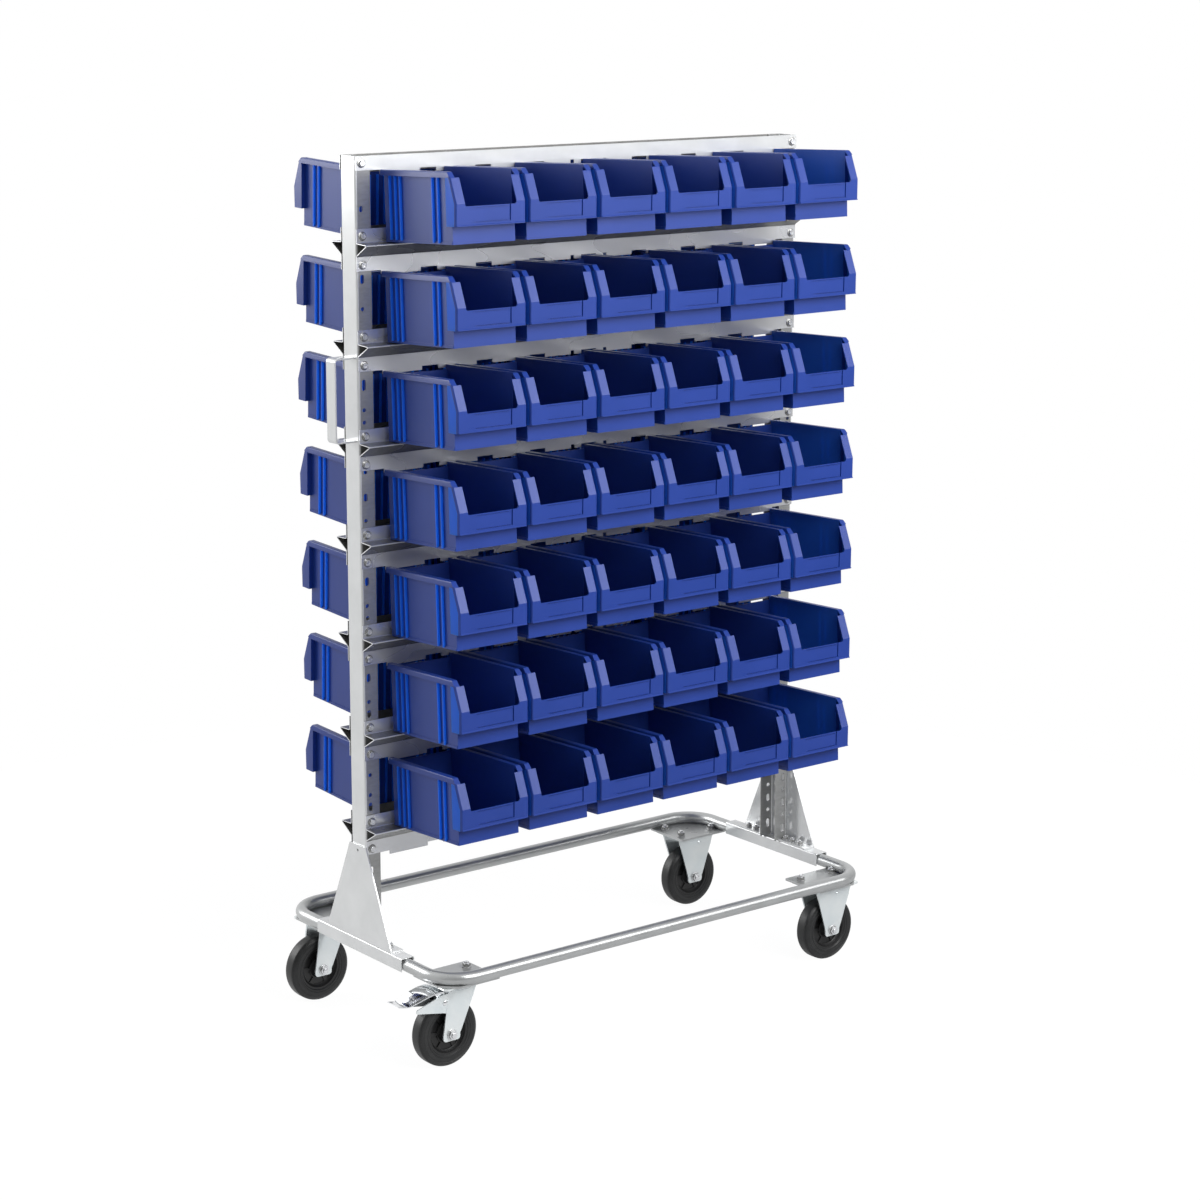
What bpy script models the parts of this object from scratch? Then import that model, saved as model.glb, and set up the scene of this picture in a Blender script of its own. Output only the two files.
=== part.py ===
"""Double-sided mobile rack for open-fronted storage bins.

Metres, +Z up. X runs along the rack, -Y is the front side and the floor is at Z = 0.
Two perforated uprights stand on end channels over a ring of bent tube. Bent-sheet
rails carry seven rows of bins on each side, and four castors carry the ring.
"""
import math

import bpy
import bmesh
from mathutils import Matrix
from mathutils import Vector

# Clearance between pieces that touch, overlap of pieces that are welded, reach of a
# cutter past what it cuts, and the distance below which two corners are one
GAP = 0.0003
WELD = 0.001
OVERRUN = 0.004
MERGE_DISTANCE = 0.00003

# Rack as a whole
RACK_HEIGHT = 1.595
RACK_LENGTH = 1.010
ROW_COUNT = 7
FOOT_CLEARANCE = 0.1856

# Turns, and how finely round shapes are drawn
QUARTER_TURN = math.radians(90)
HALF_TURN = math.radians(180)
FULL_TURN = math.radians(360)
SHARP_ANGLE = math.radians(35)
FLAT_ANGLE = math.radians(0.1)
BEND_STEPS = 2
SLOT_STEPS = 2
HANDLE_STEPS = 3
FOOT_STEPS = 6
CORNER_STEPS = 6
ROUND_STEPS = 16
BORE_STEPS = 12
WHEEL_STEPS = 20
NUT_SIDES = 6
TUBE_RESOLUTION = 4

# Uprights
UPRIGHT_DEPTH = 0.046
UPRIGHT_FLANGE = 0.031
UPRIGHT_SHEET = 0.002
UPRIGHT_BEND = 0.004
HOLE_INSET = 0.012
HOLE_WIDTH = 0.0085
SLOT_LENGTH = 0.016
ROW_SLOT_DROP = 0.091
FOOT_SLOT_FIRST = 0.025
FOOT_SLOT_PITCH = 0.0525
FOOT_SLOT_COUNT = 3

# Bin rails: heights up or down from their ledge, which lies above the next row's top line
RAIL_SHEET = 0.0015
LEDGE_LIFT = 0.0257
LEDGE_REACH = 0.030
LEDGE_FALL = 0.0014
NOSE_HEIGHT = 0.003
RAIL_TOP_RISE = 0.0243
RAIL_KNEE_FALL = 0.0227
RAIL_FOOT_FALL = 0.0557
TOP_RAIL_HEIGHT = 0.032
NOTCH_DEPTH = 0.007
NOTCH_WIDTH = 0.035
NOTCH_PITCH = 0.118
NOTCHES_EACH_SIDE = 3
NARROW_SLOT_WIDTH = 0.008
NARROW_SLOT_OFFSET = 0.0375

# Open-fronted bins, in their own frame: out from the back wall and up from the floor
BINS_PER_ROW = 6
BIN_PITCH = 0.1535
BIN_WIDTH = 0.147
BIN_LENGTH = 0.2243
BIN_HEADROOM = 0.050
BIN_STEP_IN = 0.009
BIN_WALL = 0.0025
BIN_FLOOR = 0.003
TUB_SETBACK = 0.0228
TUB_TOE_RISE = 0.0025
BACK_WALL_DROP = 0.008
RIM_DEPTH = 0.010
RIM_SETBACK = 0.0266
RIM_EASE_SETBACK = 0.0208
RIM_EASE_DROP = 0.0034
FRAME_LENGTH = 0.028
BAND_BOTTOM_SHARE = 0.269
BAND_TOP_SHARE = 0.536
BAND_KNEE_SHARE = 0.576
BAND_LEAN = 0.0019
CHEEK_SETBACK = 0.0153
CHEEK_DROP = 0.0092
FRONT_FLANGE = 0.020
RIB_WIDTH = 0.003
RIB_DEPTH = 0.004
RIB_FOOT = 0.005
BACK_RIB_FIRST = 0.0203
FRONT_RIB_SETBACK = 0.0753
RIB_PITCH = 0.0155
BACK_RIB_COUNT = 3
FRONT_RIB_COUNT = 2
BIN_TILT = math.radians(2.1)
BIN_STAND_OFF = 0.0075

# Base ring, its end channels and the castor plates welded under its corners
TUBE_RADIUS = 0.012
RING_BEND = 0.065
RING_HALF_DEPTH = 0.26025
CHANNEL_WIDTH = 0.028
CHANNEL_HEIGHT = 0.0245
CHANNEL_SHEET = 0.0015
CHANNEL_BEND = 0.0025
CHANNEL_LENGTH = 0.277
CHANNEL_PROUD = 0.0045
CASTOR_PLATE_LENGTH = 0.116
CASTOR_PLATE_WIDTH = 0.105
CASTOR_PLATE_SHEET = 0.004
CASTOR_PLATE_CORNER = 0.030

# Foot brackets
BRACKET_SHEET = 0.0025
BRACKET_TOP_HALF = 0.026
BRACKET_FOOT_HALF = 0.103
BRACKET_HEIGHT = 0.177
BRACKET_FOOT_WIDTH = 0.0235
BRACKET_CORNER = 0.004
BRACKET_HOLE_RADIUS = 0.0028
BRACKET_HOLE_DROP = 0.010

# Push handle, bent from flat bar
HANDLE_BAR = 0.003
HANDLE_WIDTH = 0.028
HANDLE_STAND_OFF = 0.042
HANDLE_TOP_DROP = 0.348
HANDLE_SPAN = 0.150
HANDLE_BEND = 0.007

# Castors
CASTOR_HEIGHT = 0.155
CASTOR_X = 0.440
CASTOR_Y = 0.210
CASTOR_TRAIL = 0.028
WHEEL_RADIUS = 0.0625
TREAD_HALF_WIDTH = 0.0155
TREAD_FLAT_HALF = 0.011
SHOULDER_DROP = 0.005
TYRE_INNER_RADIUS = 0.041
DISC_HALF_WIDTH = 0.007
HUB_RADIUS = 0.017
HUB_HALF_WIDTH = 0.0195
BORE_RADIUS = 0.006
AXLE_RADIUS = 0.005
AXLE_HEAD_RADIUS = 0.009
AXLE_HEAD_HEIGHT = 0.006
LEG_SHEET = 0.003
LEG_CLEAR_HALF = 0.021
LEG_FOOT_RADIUS = 0.017
MOUNT_SHEET = 0.003
MOUNT_LENGTH = 0.105
MOUNT_WIDTH = 0.085
MOUNT_CORNER = 0.008
RACE_RADIUS = 0.026
RACE_HEIGHT = 0.006
CROWN_SHEET = 0.003
FIXED_LEG_TOP_HALF = 0.046
SWIVEL_LEG_FRONT = 0.0245
SWIVEL_LEG_BACK = 0.039

# Brake pedal and the arm that carries it, out from the swivel axis and up from the floor
PEDAL_PIVOT_BACK = 0.042
PEDAL_PIVOT_HEIGHT = 0.1245
ARM_REACH = 0.102
ARM_UNDERSIDE = 0.109
ARM_TIP_LOW = 0.117
ARM_TIP_HIGH = 0.123
PEDAL_REACH = 0.136
PEDAL_TIP_HEIGHT = 0.137
PEDAL_TOE_REACH = 0.118
PEDAL_TOE_HEIGHT = 0.133
PEDAL_CREST_REACH = 0.058
PEDAL_CREST_HEIGHT = 0.1495
PEDAL_HEEL_REACH = 0.044
PEDAL_SHEET = 0.002
PEDAL_HALF_WIDTH = 0.026
PEDAL_TOE_HALF_WIDTH = 0.019
PEDAL_EAR_SHEET = 0.0025
PEDAL_EYE_RADIUS = 0.006
PEDAL_PIN_RADIUS = 0.003
PEDAL_PIN_CLEARANCE = 0.0008

# Heights and places that follow from the sizes above
MOUNT_PLATE_LOW = CASTOR_HEIGHT + GAP
RING_HEIGHT = MOUNT_PLATE_LOW + CASTOR_PLATE_SHEET - WELD + TUBE_RADIUS
CHANNEL_TOP = RING_HEIGHT + TUBE_RADIUS + GAP + CHANNEL_SHEET
FOOT_HEIGHT = CHANNEL_TOP + GAP
RACK_HALF = RACK_LENGTH / 2
CHANNEL_OUTER = RACK_HALF + CHANNEL_PROUD
RING_HALF_LENGTH = CHANNEL_OUTER - CHANNEL_WIDTH / 2
UPRIGHT_FACE = UPRIGHT_DEPTH / 2
RAIL_FACE = UPRIGHT_FACE + GAP + RAIL_SHEET
ROW_PITCH = (RACK_HEIGHT - FOOT_HEIGHT - FOOT_CLEARANCE) / ROW_COUNT
LEDGE_DROP = ROW_PITCH - LEDGE_LIFT
BIN_HEIGHT = ROW_PITCH - BIN_HEADROOM
TUB_LENGTH = BIN_LENGTH - TUB_SETBACK
RIM_LENGTH = BIN_LENGTH - RIM_SETBACK
BAND_BOTTOM = BIN_HEIGHT * BAND_BOTTOM_SHARE
BAND_TOP = BIN_HEIGHT * BAND_TOP_SHARE
BAND_KNEE = BIN_HEIGHT * BAND_KNEE_SHARE
PEDAL_TIP_X = -CASTOR_X - PEDAL_REACH
CENTRE_SHIFT = -(PEDAL_TIP_X + CHANNEL_OUTER) / 2


# The shapes that are used more than once, by name
meshes = {}


def clear_scene():
    for obj in list(bpy.data.objects):
        bpy.data.objects.remove(obj, do_unlink=True)
    for collection in list(bpy.data.collections):
        bpy.data.collections.remove(collection)


def make_collection(name):
    collection = bpy.data.collections.new(name)
    bpy.context.scene.collection.children.link(collection)
    return collection


def make_material(name, colour, roughness, metallic):
    material = bpy.data.materials.new(name)
    material.use_nodes = True
    shader = material.node_tree.nodes["Principled BSDF"]
    shader.inputs["Base Color"].default_value = (*colour, 1.0)
    shader.inputs["Roughness"].default_value = roughness
    shader.inputs["Metallic"].default_value = metallic
    material.diffuse_color = (*colour, 1.0)
    return material


def zinc_material():
    return make_material("zinc_sheet", (0.66, 0.68, 0.69), 0.38, 1.0)


def bright_zinc_material():
    return make_material("bright_zinc", (0.74, 0.78, 0.80), 0.25, 1.0)


def chrome_material():
    return make_material("chrome", (0.82, 0.83, 0.84), 0.08, 1.0)


def blue_plastic_material():
    return make_material("blue_plastic", (0.035, 0.060, 0.37), 0.42, 0.0)


def rubber_material():
    return make_material("black_rubber", (0.028, 0.029, 0.031), 0.62, 0.0)


# Building blocks


def evaluated_mesh(obj):
    depsgraph = bpy.context.evaluated_depsgraph_get()
    return bpy.data.meshes.new_from_object(obj.evaluated_get(depsgraph))


def weld_mesh(mesh):
    bm = bmesh.new()
    bm.from_mesh(mesh)
    bmesh.ops.remove_doubles(bm, verts=bm.verts, dist=MERGE_DISTANCE)
    bmesh.ops.recalc_face_normals(bm, faces=bm.faces)
    bm.to_mesh(mesh)
    bm.free()


def link_temporary(data):
    obj = bpy.data.objects.new("working_shape", data)
    bpy.context.scene.collection.objects.link(obj)
    return obj


def take_mesh(obj):
    """The object's shape with its modifiers applied; the object itself is removed."""
    mesh = evaluated_mesh(obj)
    data = obj.data
    bpy.data.objects.remove(obj, do_unlink=True)
    if isinstance(data, bpy.types.Curve):
        bpy.data.curves.remove(data)
        weld_mesh(mesh)
    return mesh


def flat_prism(outline, thickness):
    """A closed outline in XY, thickened evenly on both sides of the XY plane."""
    curve = bpy.data.curves.new("outline", "CURVE")
    curve.dimensions = "2D"
    curve.fill_mode = "BOTH"
    curve.extrude = thickness / 2
    spline = curve.splines.new("POLY")
    spline.points.add(len(outline) - 1)
    for point, (x, y) in zip(spline.points, outline):
        point.co = (x, y, 0, 1)
    spline.use_cyclic_u = True
    return take_mesh(link_temporary(curve))


def along_x(mesh):
    """Turns an outline drawn in XY so that it stands in YZ and is thick along X."""
    mesh.transform(Matrix.Rotation(QUARTER_TURN, 4, "Z") @ Matrix.Rotation(QUARTER_TURN, 4, "X"))
    return mesh


def along_y(mesh):
    """Turns an outline drawn in XY so that it stands in XZ and is thick along Y."""
    mesh.transform(Matrix.Rotation(QUARTER_TURN, 4, "X"))
    return mesh


def moved(mesh, x=0, y=0, z=0):
    mesh.transform(Matrix.Translation((x, y, z)))
    return mesh


def block(low, high):
    bm = bmesh.new()
    bmesh.ops.create_cube(bm, size=1)
    size = [b - a for a, b in zip(low, high)]
    middle = [(a + b) / 2 for a, b in zip(low, high)]
    bmesh.ops.scale(bm, vec=size, verts=bm.verts)
    bmesh.ops.translate(bm, vec=middle, verts=bm.verts)
    mesh = bpy.data.meshes.new("block")
    bm.to_mesh(mesh)
    bm.free()
    return mesh


def round_bar(radius, low, high, sides):
    """A cylinder about Z between two heights."""
    bm = bmesh.new()
    bmesh.ops.create_cone(
        bm, cap_ends=True, segments=sides, radius1=radius, radius2=radius, depth=high - low
    )
    bmesh.ops.translate(bm, vec=(0, 0, (low + high) / 2), verts=bm.verts)
    mesh = bpy.data.meshes.new("round_bar")
    bm.to_mesh(mesh)
    bm.free()
    return mesh


def round_bar_y(radius, half_length, sides):
    mesh = round_bar(radius, -half_length, half_length, sides)
    mesh.transform(Matrix.Rotation(QUARTER_TURN, 4, "X"))
    return mesh


def group(meshes):
    """Separate solids in one mesh, for use as one Boolean operand."""
    bm = bmesh.new()
    for mesh in meshes:
        bm.from_mesh(mesh)
    result = bpy.data.meshes.new("group")
    bm.to_mesh(result)
    bm.free()
    return result


def combine(base, other, operation):
    target = link_temporary(base)
    tool = link_temporary(other)
    tool.hide_render = True
    tool.display_type = "WIRE"
    modifier = target.modifiers.new("combine", "BOOLEAN")
    modifier.operation = operation
    modifier.solver = "EXACT"
    modifier.object = tool
    mesh = take_mesh(target)
    bpy.data.objects.remove(tool, do_unlink=True)
    return mesh


def joined(base, other):
    return combine(base, other, "UNION")


def cut(base, cutter):
    return combine(base, cutter, "DIFFERENCE")


def merge_flats(mesh):
    """Joins coplanar facets that Booleans leave, so flats stay single faces."""
    bm = bmesh.new()
    bm.from_mesh(mesh)
    bmesh.ops.remove_doubles(bm, verts=bm.verts, dist=MERGE_DISTANCE)
    bmesh.ops.dissolve_limit(bm, angle_limit=FLAT_ANGLE, verts=bm.verts, edges=bm.edges)
    bm.to_mesh(mesh)
    bm.free()
    return mesh


def fillet(outline, radii, steps):
    """Rounds each corner of a closed outline by its own radius; zero keeps it sharp."""
    points = []
    count = len(outline)
    for index, radius in enumerate(radii):
        corner = Vector(outline[index])
        before = Vector(outline[index - 1]) - corner
        after = Vector(outline[(index + 1) % count]) - corner
        if radius <= 0:
            points.append(tuple(corner))
            continue
        half_angle = before.angle(after) / 2
        setback = min(radius / math.tan(half_angle), before.length / 2, after.length / 2)
        reach = setback * math.tan(half_angle)
        middle = (before.normalized() + after.normalized()).normalized()
        centre = corner + middle * (reach / math.sin(half_angle))
        start = corner + before.normalized() * setback - centre
        sweep = start.angle_signed(corner + after.normalized() * setback - centre)
        for step in range(steps + 1):
            turn = Matrix.Rotation(-sweep * step / steps, 2)
            points.append(tuple(centre + turn @ start))
    return points


def arc(centre, radius, start, end, steps):
    points = []
    for step in range(steps + 1):
        angle = start + (end - start) * step / steps
        points.append((centre[0] + radius * math.cos(angle), centre[1] + radius * math.sin(angle)))
    return points


def add_part(name, mesh, material, collection, parent, location=(0, 0, 0), turn=0, tilt=0):
    obj = bpy.data.objects.new(name, mesh)
    if not mesh.materials:
        mesh.materials.append(material)
        mesh.shade_smooth()
        mesh.set_sharp_from_angle(angle=SHARP_ANGLE)
    obj.parent = parent
    obj.location = location
    obj.rotation_euler = (tilt, 0, turn)
    collection.objects.link(obj)
    return obj


# Frame


def upright_mesh():
    """A channel open towards the rack's middle, with slots down both flanges."""
    inner = UPRIGHT_FACE - UPRIGHT_SHEET
    outline = [
        (0, -UPRIGHT_FACE),
        (UPRIGHT_FLANGE, -UPRIGHT_FACE),
        (UPRIGHT_FLANGE, -inner),
        (UPRIGHT_SHEET, -inner),
        (UPRIGHT_SHEET, inner),
        (UPRIGHT_FLANGE, inner),
        (UPRIGHT_FLANGE, UPRIGHT_FACE),
        (0, UPRIGHT_FACE),
    ]
    bend = UPRIGHT_BEND
    radii = [bend, 0, 0, bend - UPRIGHT_SHEET, bend - UPRIGHT_SHEET, 0, 0, bend]
    height = RACK_HEIGHT - FOOT_HEIGHT
    body = flat_prism(fillet(outline, radii, BEND_STEPS), height)
    moved(body, z=FOOT_HEIGHT + height / 2)
    levels = [RACK_HEIGHT - ROW_SLOT_DROP - row * ROW_PITCH for row in range(ROW_COUNT)]
    foot_slot = FOOT_HEIGHT + FOOT_SLOT_FIRST
    levels += [foot_slot + step * FOOT_SLOT_PITCH for step in range(FOOT_SLOT_COUNT)]
    slots = [moved(slot_cutter(), x=HOLE_INSET, z=level) for level in levels]
    return merge_flats(cut(body, group(slots)))


def slot_cutter():
    radius = HOLE_WIDTH / 2
    straight = (SLOT_LENGTH - HOLE_WIDTH) / 2
    outline = arc((0, straight), radius, 0, HALF_TURN, SLOT_STEPS)
    outline += arc((0, -straight), radius, HALF_TURN, FULL_TURN, SLOT_STEPS)
    return along_y(flat_prism(outline, UPRIGHT_DEPTH + 2 * OVERRUN))


def rail_path():
    """The bent sheet's front line: plate, ledge, nose, return to the plate and its foot."""
    ledge = -LEDGE_DROP
    nose_top = ledge - LEDGE_FALL
    return [
        (0, ledge + RAIL_TOP_RISE),
        (0, ledge),
        (LEDGE_REACH, nose_top),
        (LEDGE_REACH, nose_top - NOSE_HEIGHT),
        (0, ledge - RAIL_KNEE_FALL),
        (0, ledge - RAIL_FOOT_FALL),
    ]


def bent_sheet(path, length, sheet):
    """A path in (outward, up) drawn along X and given the sheet's thickness behind it."""
    bm = bmesh.new()
    near = [bm.verts.new((-length / 2, -out, up)) for out, up in path]
    far = [bm.verts.new((length / 2, -out, up)) for out, up in path]
    for index in range(len(path) - 1):
        bm.faces.new((near[index], near[index + 1], far[index + 1], far[index]))
    mesh = bpy.data.meshes.new("bent_sheet")
    bm.to_mesh(mesh)
    bm.free()
    obj = link_temporary(mesh)
    shell = obj.modifiers.new("sheet", "SOLIDIFY")
    shell.thickness = sheet
    shell.offset = -1
    shell.use_even_offset = True
    return take_mesh(obj)


def notched_rail_mesh(path):
    """A rail along the whole rack, its foot edge notched between the tabs."""
    body = bent_sheet(path, RACK_LENGTH, RAIL_SHEET)
    foot = path[-1][1]
    spans = []
    for step in range(-NOTCHES_EACH_SIDE, NOTCHES_EACH_SIDE + 1):
        spans.append((step * NOTCH_PITCH, NOTCH_WIDTH))
    for side in (-1, 1):
        spans.append((side * NARROW_SLOT_OFFSET, NARROW_SLOT_WIDTH))
    last_edge = (NOTCHES_EACH_SIDE + 1) * NOTCH_PITCH - NOTCH_WIDTH / 2
    end_width = RACK_HALF + OVERRUN - last_edge
    for side in (-1, 1):
        spans.append((side * (last_edge + end_width / 2), end_width))
    cutters = []
    for middle, width in spans:
        low = (middle - width / 2, -OVERRUN, foot - OVERRUN)
        high = (middle + width / 2, OVERRUN, foot + NOTCH_DEPTH)
        cutters.append(block(low, high))
    return merge_flats(cut(body, group(cutters)))


def channel_mesh():
    """An inverted channel over the ring's end, drawn with its outer wall towards -X."""
    half = CHANNEL_WIDTH / 2
    inner = half - CHANNEL_SHEET
    under = CHANNEL_TOP - CHANNEL_SHEET
    foot = CHANNEL_TOP - CHANNEL_HEIGHT
    outline = [
        (-half, foot),
        (-inner, foot),
        (-inner, under),
        (inner, under),
        (inner, foot),
        (half, foot),
        (half, CHANNEL_TOP),
        (-half, CHANNEL_TOP),
    ]
    bend = CHANNEL_BEND
    radii = [0, 0, bend - CHANNEL_SHEET, bend - CHANNEL_SHEET, 0, 0, bend, bend]
    return along_y(flat_prism(fillet(outline, radii, BEND_STEPS), CHANNEL_LENGTH))


def bracket_mesh():
    """An upright triangular plate with a foot bent inwards over the channel."""
    top = FOOT_HEIGHT + BRACKET_HEIGHT
    outline = [
        (-BRACKET_FOOT_HALF, FOOT_HEIGHT),
        (BRACKET_FOOT_HALF, FOOT_HEIGHT),
        (BRACKET_TOP_HALF, top),
        (-BRACKET_TOP_HALF, top),
    ]
    radii = [0, 0, BRACKET_CORNER, BRACKET_CORNER]
    plate = along_x(flat_prism(fillet(outline, radii, BEND_STEPS), BRACKET_SHEET))
    moved(plate, x=-GAP - BRACKET_SHEET / 2)
    foot_low = (-GAP - BRACKET_SHEET, -BRACKET_FOOT_HALF, FOOT_HEIGHT)
    foot_high = (BRACKET_FOOT_WIDTH, BRACKET_FOOT_HALF, FOOT_HEIGHT + BRACKET_SHEET)
    body = joined(plate, block(foot_low, foot_high))
    clear = UPRIGHT_FACE + GAP
    notch_low = (-GAP, -clear, FOOT_HEIGHT - OVERRUN)
    notch_high = (BRACKET_FOOT_WIDTH + OVERRUN, clear, FOOT_HEIGHT + BRACKET_SHEET + OVERRUN)
    body = cut(body, block(notch_low, notch_high))
    hole = round_bar(BRACKET_HOLE_RADIUS, -OVERRUN, OVERRUN, BORE_STEPS)
    hole.transform(Matrix.Rotation(QUARTER_TURN, 4, "Y"))
    return merge_flats(cut(body, moved(hole, z=top - BRACKET_HOLE_DROP)))


def ring_route():
    """Half of the ring's centre line, from the middle of one end to the other."""
    end = GAP / 2
    corners = [
        (-RING_HALF_LENGTH, -end),
        (-RING_HALF_LENGTH, -RING_HALF_DEPTH),
        (RING_HALF_LENGTH, -RING_HALF_DEPTH),
        (RING_HALF_LENGTH, -end),
    ]
    return fillet(corners, [0, RING_BEND, RING_BEND, 0], CORNER_STEPS)


def tube_mesh(route, height):
    curve = bpy.data.curves.new("tube", "CURVE")
    curve.dimensions = "3D"
    curve.bevel_depth = TUBE_RADIUS
    curve.bevel_resolution = TUBE_RESOLUTION
    curve.use_fill_caps = True
    spline = curve.splines.new("POLY")
    spline.points.add(len(route) - 1)
    for point, (x, y) in zip(spline.points, route):
        point.co = (x, y, height, 1)
    return take_mesh(link_temporary(curve))


def castor_seat(side):
    """The plate welded under one front corner of the ring."""
    half = CASTOR_PLATE_LENGTH / 2
    depth = CASTOR_PLATE_WIDTH / 2
    corner = CASTOR_PLATE_CORNER
    outline = [
        (-half, depth),
        (-half, corner - depth),
        (corner - half, -depth),
        (half, -depth),
        (half, depth),
    ]
    plate = flat_prism(outline, CASTOR_PLATE_SHEET)
    if side > 0:
        plate.transform(Matrix.Scale(-1, 4, (1, 0, 0)))
        plate.flip_normals()
    return moved(plate, side * CASTOR_X, -CASTOR_Y, MOUNT_PLATE_LOW + CASTOR_PLATE_SHEET / 2)


def base_tube_mesh():
    tube = tube_mesh(ring_route(), RING_HEIGHT)
    seats = group([castor_seat(-1), castor_seat(1)])
    return merge_flats(joined(tube, seats))


def handle_mesh():
    """A flat bar bent into a U, its open side against the upright's outer face."""
    reach = HANDLE_STAND_OFF
    half = HANDLE_SPAN / 2
    inner = half - HANDLE_BAR
    outline = [
        (-GAP, -half),
        (-GAP, -inner),
        (HANDLE_BAR - reach, -inner),
        (HANDLE_BAR - reach, inner),
        (-GAP, inner),
        (-GAP, half),
        (-reach, half),
        (-reach, -half),
    ]
    inside = HANDLE_BEND - HANDLE_BAR
    radii = [0, 0, inside, inside, 0, 0, HANDLE_BEND, HANDLE_BEND]
    return along_y(flat_prism(fillet(outline, radii, HANDLE_STEPS), HANDLE_WIDTH))


# Bins


def band_outline():
    """Rim and front frame seen from the side: out from the back wall, and up."""
    frame_back = BIN_LENGTH - FRAME_LENGTH
    cheek_top = BIN_LENGTH - CHEEK_SETBACK
    rim_bottom = BIN_HEIGHT - RIM_DEPTH
    return [
        (0, rim_bottom),
        (frame_back, rim_bottom),
        (frame_back, BAND_BOTTOM),
        (BIN_LENGTH - BAND_LEAN, BAND_BOTTOM),
        (BIN_LENGTH, BAND_KNEE),
        (cheek_top, BIN_HEIGHT - CHEEK_DROP),
        (BIN_LENGTH - RIM_EASE_SETBACK, BIN_HEIGHT - RIM_EASE_DROP),
        (RIM_LENGTH, BIN_HEIGHT),
        (0, BIN_HEIGHT),
    ]


def tub_outline():
    return [
        (0, 0),
        (TUB_LENGTH, TUB_TOE_RISE),
        (TUB_LENGTH, BAND_TOP),
        (RIM_LENGTH, BIN_HEIGHT - BIN_WALL),
        (BIN_WALL, BIN_HEIGHT - BIN_WALL),
        (0, BIN_HEIGHT - RIM_DEPTH),
    ]


def cavity_outline():
    """The space inside a bin, stepped out behind the label band and open above."""
    wall = BIN_WALL
    inner_front = TUB_LENGTH - wall
    step = BAND_BOTTOM + wall
    cheek_top = BIN_HEIGHT - CHEEK_DROP
    above = BIN_HEIGHT + OVERRUN
    beyond = BIN_LENGTH + OVERRUN
    return [
        (wall, BIN_FLOOR),
        (inner_front, BIN_FLOOR + TUB_TOE_RISE),
        (inner_front, step),
        (BIN_LENGTH - BAND_LEAN - wall, step),
        (BIN_LENGTH - wall, BAND_KNEE),
        (BIN_LENGTH - CHEEK_SETBACK - wall, cheek_top),
        (beyond, cheek_top),
        (beyond, above),
        (-OVERRUN, above),
        (-OVERRUN, BIN_HEIGHT - BACK_WALL_DROP),
        (wall, BIN_HEIGHT - BACK_WALL_DROP),
    ]


def bin_slice(outline, width, middle):
    """An outline in (outward, up) made into a solid across a bin; outward is -Y."""
    drawn = [(-out, up) for out, up in reversed(outline)]
    return moved(along_x(flat_prism(drawn, width)), x=middle)


def bin_ribs(middle, side):
    """The upright ribs on one side wall of a bin."""
    tub_half = BIN_WIDTH / 2 - BIN_STEP_IN
    first_front = BIN_LENGTH - FRONT_RIB_SETBACK
    places = [BACK_RIB_FIRST + step * RIB_PITCH for step in range(BACK_RIB_COUNT)]
    places += [first_front + step * RIB_PITCH for step in range(FRONT_RIB_COUNT)]
    inner = middle + side * (tub_half - BIN_WALL / 2)
    outer = middle + side * (tub_half + RIB_DEPTH)
    ribs = []
    for place in places:
        low = (min(inner, outer), -place - RIB_WIDTH / 2, RIB_FOOT)
        high = (max(inner, outer), -place + RIB_WIDTH / 2, BIN_HEIGHT - RIM_DEPTH / 2)
        ribs.append(block(low, high))
    return ribs


def bin_bank_mesh(count):
    """One bin, or a row of bins that meet at their rims and label bands."""
    tub_width = BIN_WIDTH - 2 * BIN_STEP_IN
    middles = [(index - (count - 1) / 2) * BIN_PITCH for index in range(count)]
    body = bin_slice(band_outline(), (count - 1) * BIN_PITCH + BIN_WIDTH, 0)
    body = joined(body, group([bin_slice(tub_outline(), tub_width, x) for x in middles]))
    body = joined(body, group(bin_ribs(middles[0], -1) + bin_ribs(middles[-1], 1)))
    inner_width = tub_width - 2 * BIN_WALL
    body = cut(body, group([bin_slice(cavity_outline(), inner_width, x) for x in middles]))
    mouth_half = BIN_WIDTH / 2 - FRONT_FLANGE
    mouths = []
    for x in middles:
        low = (x - mouth_half, -BIN_LENGTH - OVERRUN, BAND_TOP)
        high = (x + mouth_half, -TUB_LENGTH + OVERRUN, BIN_HEIGHT + OVERRUN)
        mouths.append(block(low, high))
    return merge_flats(cut(body, group(mouths)))


# Castors


def wheel_mesh():
    """Tyre, disc and hub as one turned profile about Z, outer side top to bottom."""
    tread = WHEEL_RADIUS
    shoulder = tread - SHOULDER_DROP
    upper = [
        (BORE_RADIUS, HUB_HALF_WIDTH),
        (HUB_RADIUS, HUB_HALF_WIDTH),
        (TYRE_INNER_RADIUS, DISC_HALF_WIDTH),
        (TYRE_INNER_RADIUS, TREAD_HALF_WIDTH),
        (shoulder, TREAD_HALF_WIDTH),
        (tread, TREAD_FLAT_HALF),
    ]
    profile = upper + [(radius, -height) for radius, height in reversed(upper)]
    bm = bmesh.new()
    verts = [bm.verts.new((radius, 0, height)) for radius, height in profile]
    for index in range(len(verts)):
        bm.edges.new((verts[index], verts[(index + 1) % len(verts)]))
    mesh = bpy.data.meshes.new("wheel_profile")
    bm.to_mesh(mesh)
    bm.free()
    obj = link_temporary(mesh)
    screw = obj.modifiers.new("turn", "SCREW")
    screw.axis = "Z"
    screw.steps = WHEEL_STEPS
    screw.render_steps = WHEEL_STEPS
    screw.use_merge_vertices = True
    screw.merge_threshold = MERGE_DISTANCE
    wheel = take_mesh(obj)
    wheel.transform(Matrix.Rotation(QUARTER_TURN, 4, "X"))
    return wheel


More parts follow.
